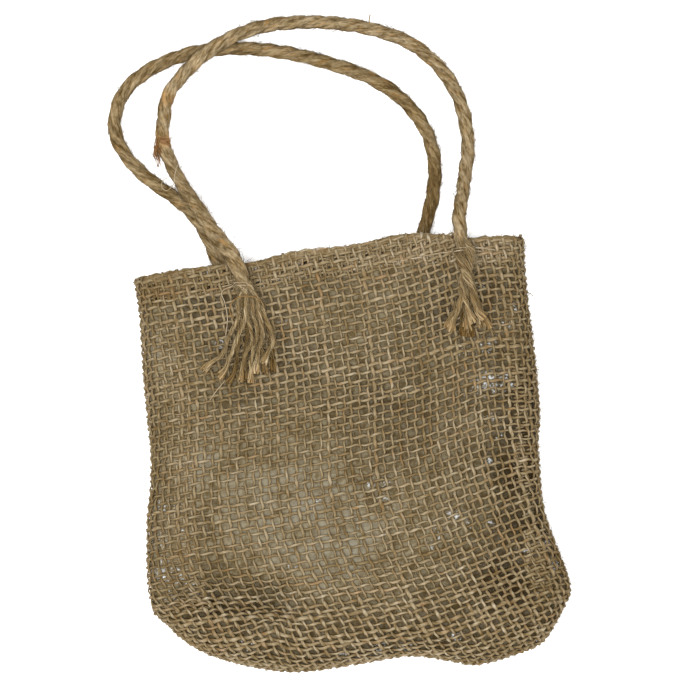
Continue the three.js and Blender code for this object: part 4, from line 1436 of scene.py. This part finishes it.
rope_straw = thread_piece("rope_straw", yarn_jute, [
    loose_thread(0.64, [(22.4, 175.2, 5.0), (22.3, 178.3, 5.2), (22.9, 180.6, 5.2)], False),
])

# %% [markdown]
# Jute is hairy: short fibres stand off every yarn and soften all the edges. A hair system would grow them,
# but it isn't a mesh that can be exported. So each fibre is a thin tapering tube that starts on a yarn,
# leaves it at a small angle and bends. They are many and tiny, so all fibres of a piece are joined into one
# mesh.

# %% Loose fibres
FIBRE_STEPS = np.linspace(0, 1, 4)[:, None]
FIBRE_SIDES = 3


def loose_fibre(one, length, angle, thick):
    """A fibre that leaves a random place of a tube at an angle in degrees."""
    k = dice.integers(1, len(one["points"]) - 1)
    turn = dice.uniform(-0.3, np.pi + 0.3)
    side, above = math.cos(turn), math.sin(turn)
    out = side * one["across"][k] + above * one["upward"][k]
    root = side * one["wide"][k] * one["across"][k] + above * one["high"][k] * one["upward"][k]
    forward = np.cross(one["upward"][k], one["across"][k]) * dice.choice([-1, 1])
    heading = math.cos(math.radians(angle)) * forward + math.sin(math.radians(angle)) * out
    bend = dice.normal(0, 0.22, 3)
    points = one["points"][k] + 0.8 * root + length * (heading * FIBRE_STEPS + bend * FIBRE_STEPS**2)
    points[:, 2] = np.maximum(points[:, 2], 0.2)
    width = thick * (1 - 0.6 * FIBRE_STEPS[:, 0])
    return strand(points, UP, width, width, dice.uniform(0.8, 1.3))


def fibre_piece(name, source, jute, slot, count, lengths, angles, thick):
    tubes = piece_strands[source]
    weights = np.array([len(one["points"]) for one in tubes], float)
    picks = dice.choice(len(tubes), count, p=weights / weights.sum())
    fibres = []
    for pick in picks:
        fibres.append(loose_fibre(tubes[pick], dice.uniform(*lengths), dice.uniform(*angles), thick))
    return tube_piece(name, fibres, FIBRE_SIDES, jute)


# columns: name, piece that carries the fibres, material, slot, count, lengths, angles in degrees, thickness
cloth_fibres, front_fibres, back_fibres, left_fibres, right_fibres = (fibre_piece(*row) for row in (
    ("cloth_fibres", "cloth_front", cloth_jute, "jute_cloth", 7800, (1.6, 4.5), (6, 40), 0.2),
    ("front_fibres", "rope_front", rope_jute, "jute_rope", 1500, (2, 5), (5, 45), 0.18),
    ("back_fibres", "rope_back", rope_jute, "jute_rope", 1400, (2, 5), (5, 45), 0.18),
    ("left_fibres", "fray_front_left", yarn_jute, "jute_yarn", 1800, (2, 5), (5, 40), 0.17),
    ("right_fibres", "fray_front_right", yarn_jute, "jute_yarn", 1200, (2, 5), (5, 35), 0.16),
))

# %% Russet tuft on the front rope
TUFT_ROOT = np.array([-67.6, 135.6, 5.0])
TUFT_TIP = np.array([-69.2, 127.8, 3.0])
TUFT_THICK = 0.24
HANGING_FIBRES = 44
LYING_FIBRES = 16


def tuft_fibre(rows, low, high):
    line = smooth_route(rows, 0.8)
    line[:, 2] = np.maximum(line[:, 2], 0.3)
    return strand(line, UP, TUFT_THICK, TUFT_THICK, dice.uniform(low, high))


tuft = []
for _ in range(HANGING_FIBRES):
    root = TUFT_ROOT + dice.normal(0, (1.0, 1.2, 0.6))
    tip = TUFT_TIP + dice.normal(0, (1.0, 1.8, 0.8))
    middle = (root + tip) / 2 + dice.normal(0, (1.0, 0.5, 0.6)) - [0.5, 0, 0]
    tuft.append(tuft_fibre([root, middle, tip], 0.7, 1.4))
for _ in range(LYING_FIBRES):
    root = TUFT_ROOT + (0.3, 0.8, 0.6) + dice.normal(0, (0.4, 0.8, 0.2))
    middle = root + (1.8, dice.normal(-0.6, 0.8), 0.9)
    tuft.append(tuft_fibre([root, middle, root + (4.0, dice.normal(-1.5, 1.0), 0.6)], 0.8, 1.5))
rope_tuft = thread_piece("rope_tuft", russet_jute, tuft)

# %% [markdown]
# Each handle is now whole: a rope with a frayed end at both sides. It leaves the hem and goes back into it.
# The cloth and the film are sheets; the cloth has a hem, a seam allowance and a wrap round the folds.

print("handles: 2 ropes with frayed ends; sheets: the cloth and the film")

# %% [markdown]
# Stage: a plain white floor that glows a little, as a light table does, a broad soft light above, a small
# lamp that makes the film glint, and a dim room.

# %% Floor, lights and room
FLOOR_HEIGHT = -0.0004
bpy.context.scene.view_settings.view_transform = "Standard"
bpy.ops.object.select_all(action="DESELECT")
bpy.ops.mesh.primitive_plane_add(size=6.0, location=(0, 0, FLOOR_HEIGHT))
floor = bpy.context.object
floor.name = "floor"
floor_paint, _, _ = new_material("pale_floor", {
    "Base Color": (0.93, 0.93, 0.93, 1), "Roughness": 0.8, "Emission Color": (1, 1, 1, 1),
    "Emission Strength": 0.15})
floor.data.materials.append(floor_paint)


def area_light(location, rotation, shape, size, energy):
    bpy.ops.object.light_add(type="AREA", location=location, rotation=rotation)
    lamp = bpy.context.object
    lamp.data.shape = shape
    lamp.data.size = size
    lamp.data.energy = energy
    lamp.visible_camera = False


area_light((-0.2, -0.1, 1.8), (0.05, -0.11, 0), "SQUARE", 0.9, 57.0)
area_light((-0.55, 0.35, 1.15), (-0.27, -0.42, 0), "DISK", 0.09, 1.6)

room = bpy.data.worlds.new("room")
bpy.context.scene.world = room
room.use_nodes = True
room.node_tree.nodes["Background"].inputs["Color"].default_value = (1, 1, 1, 1)
room.node_tree.nodes["Background"].inputs["Strength"].default_value = 0.8
print("stage is set")
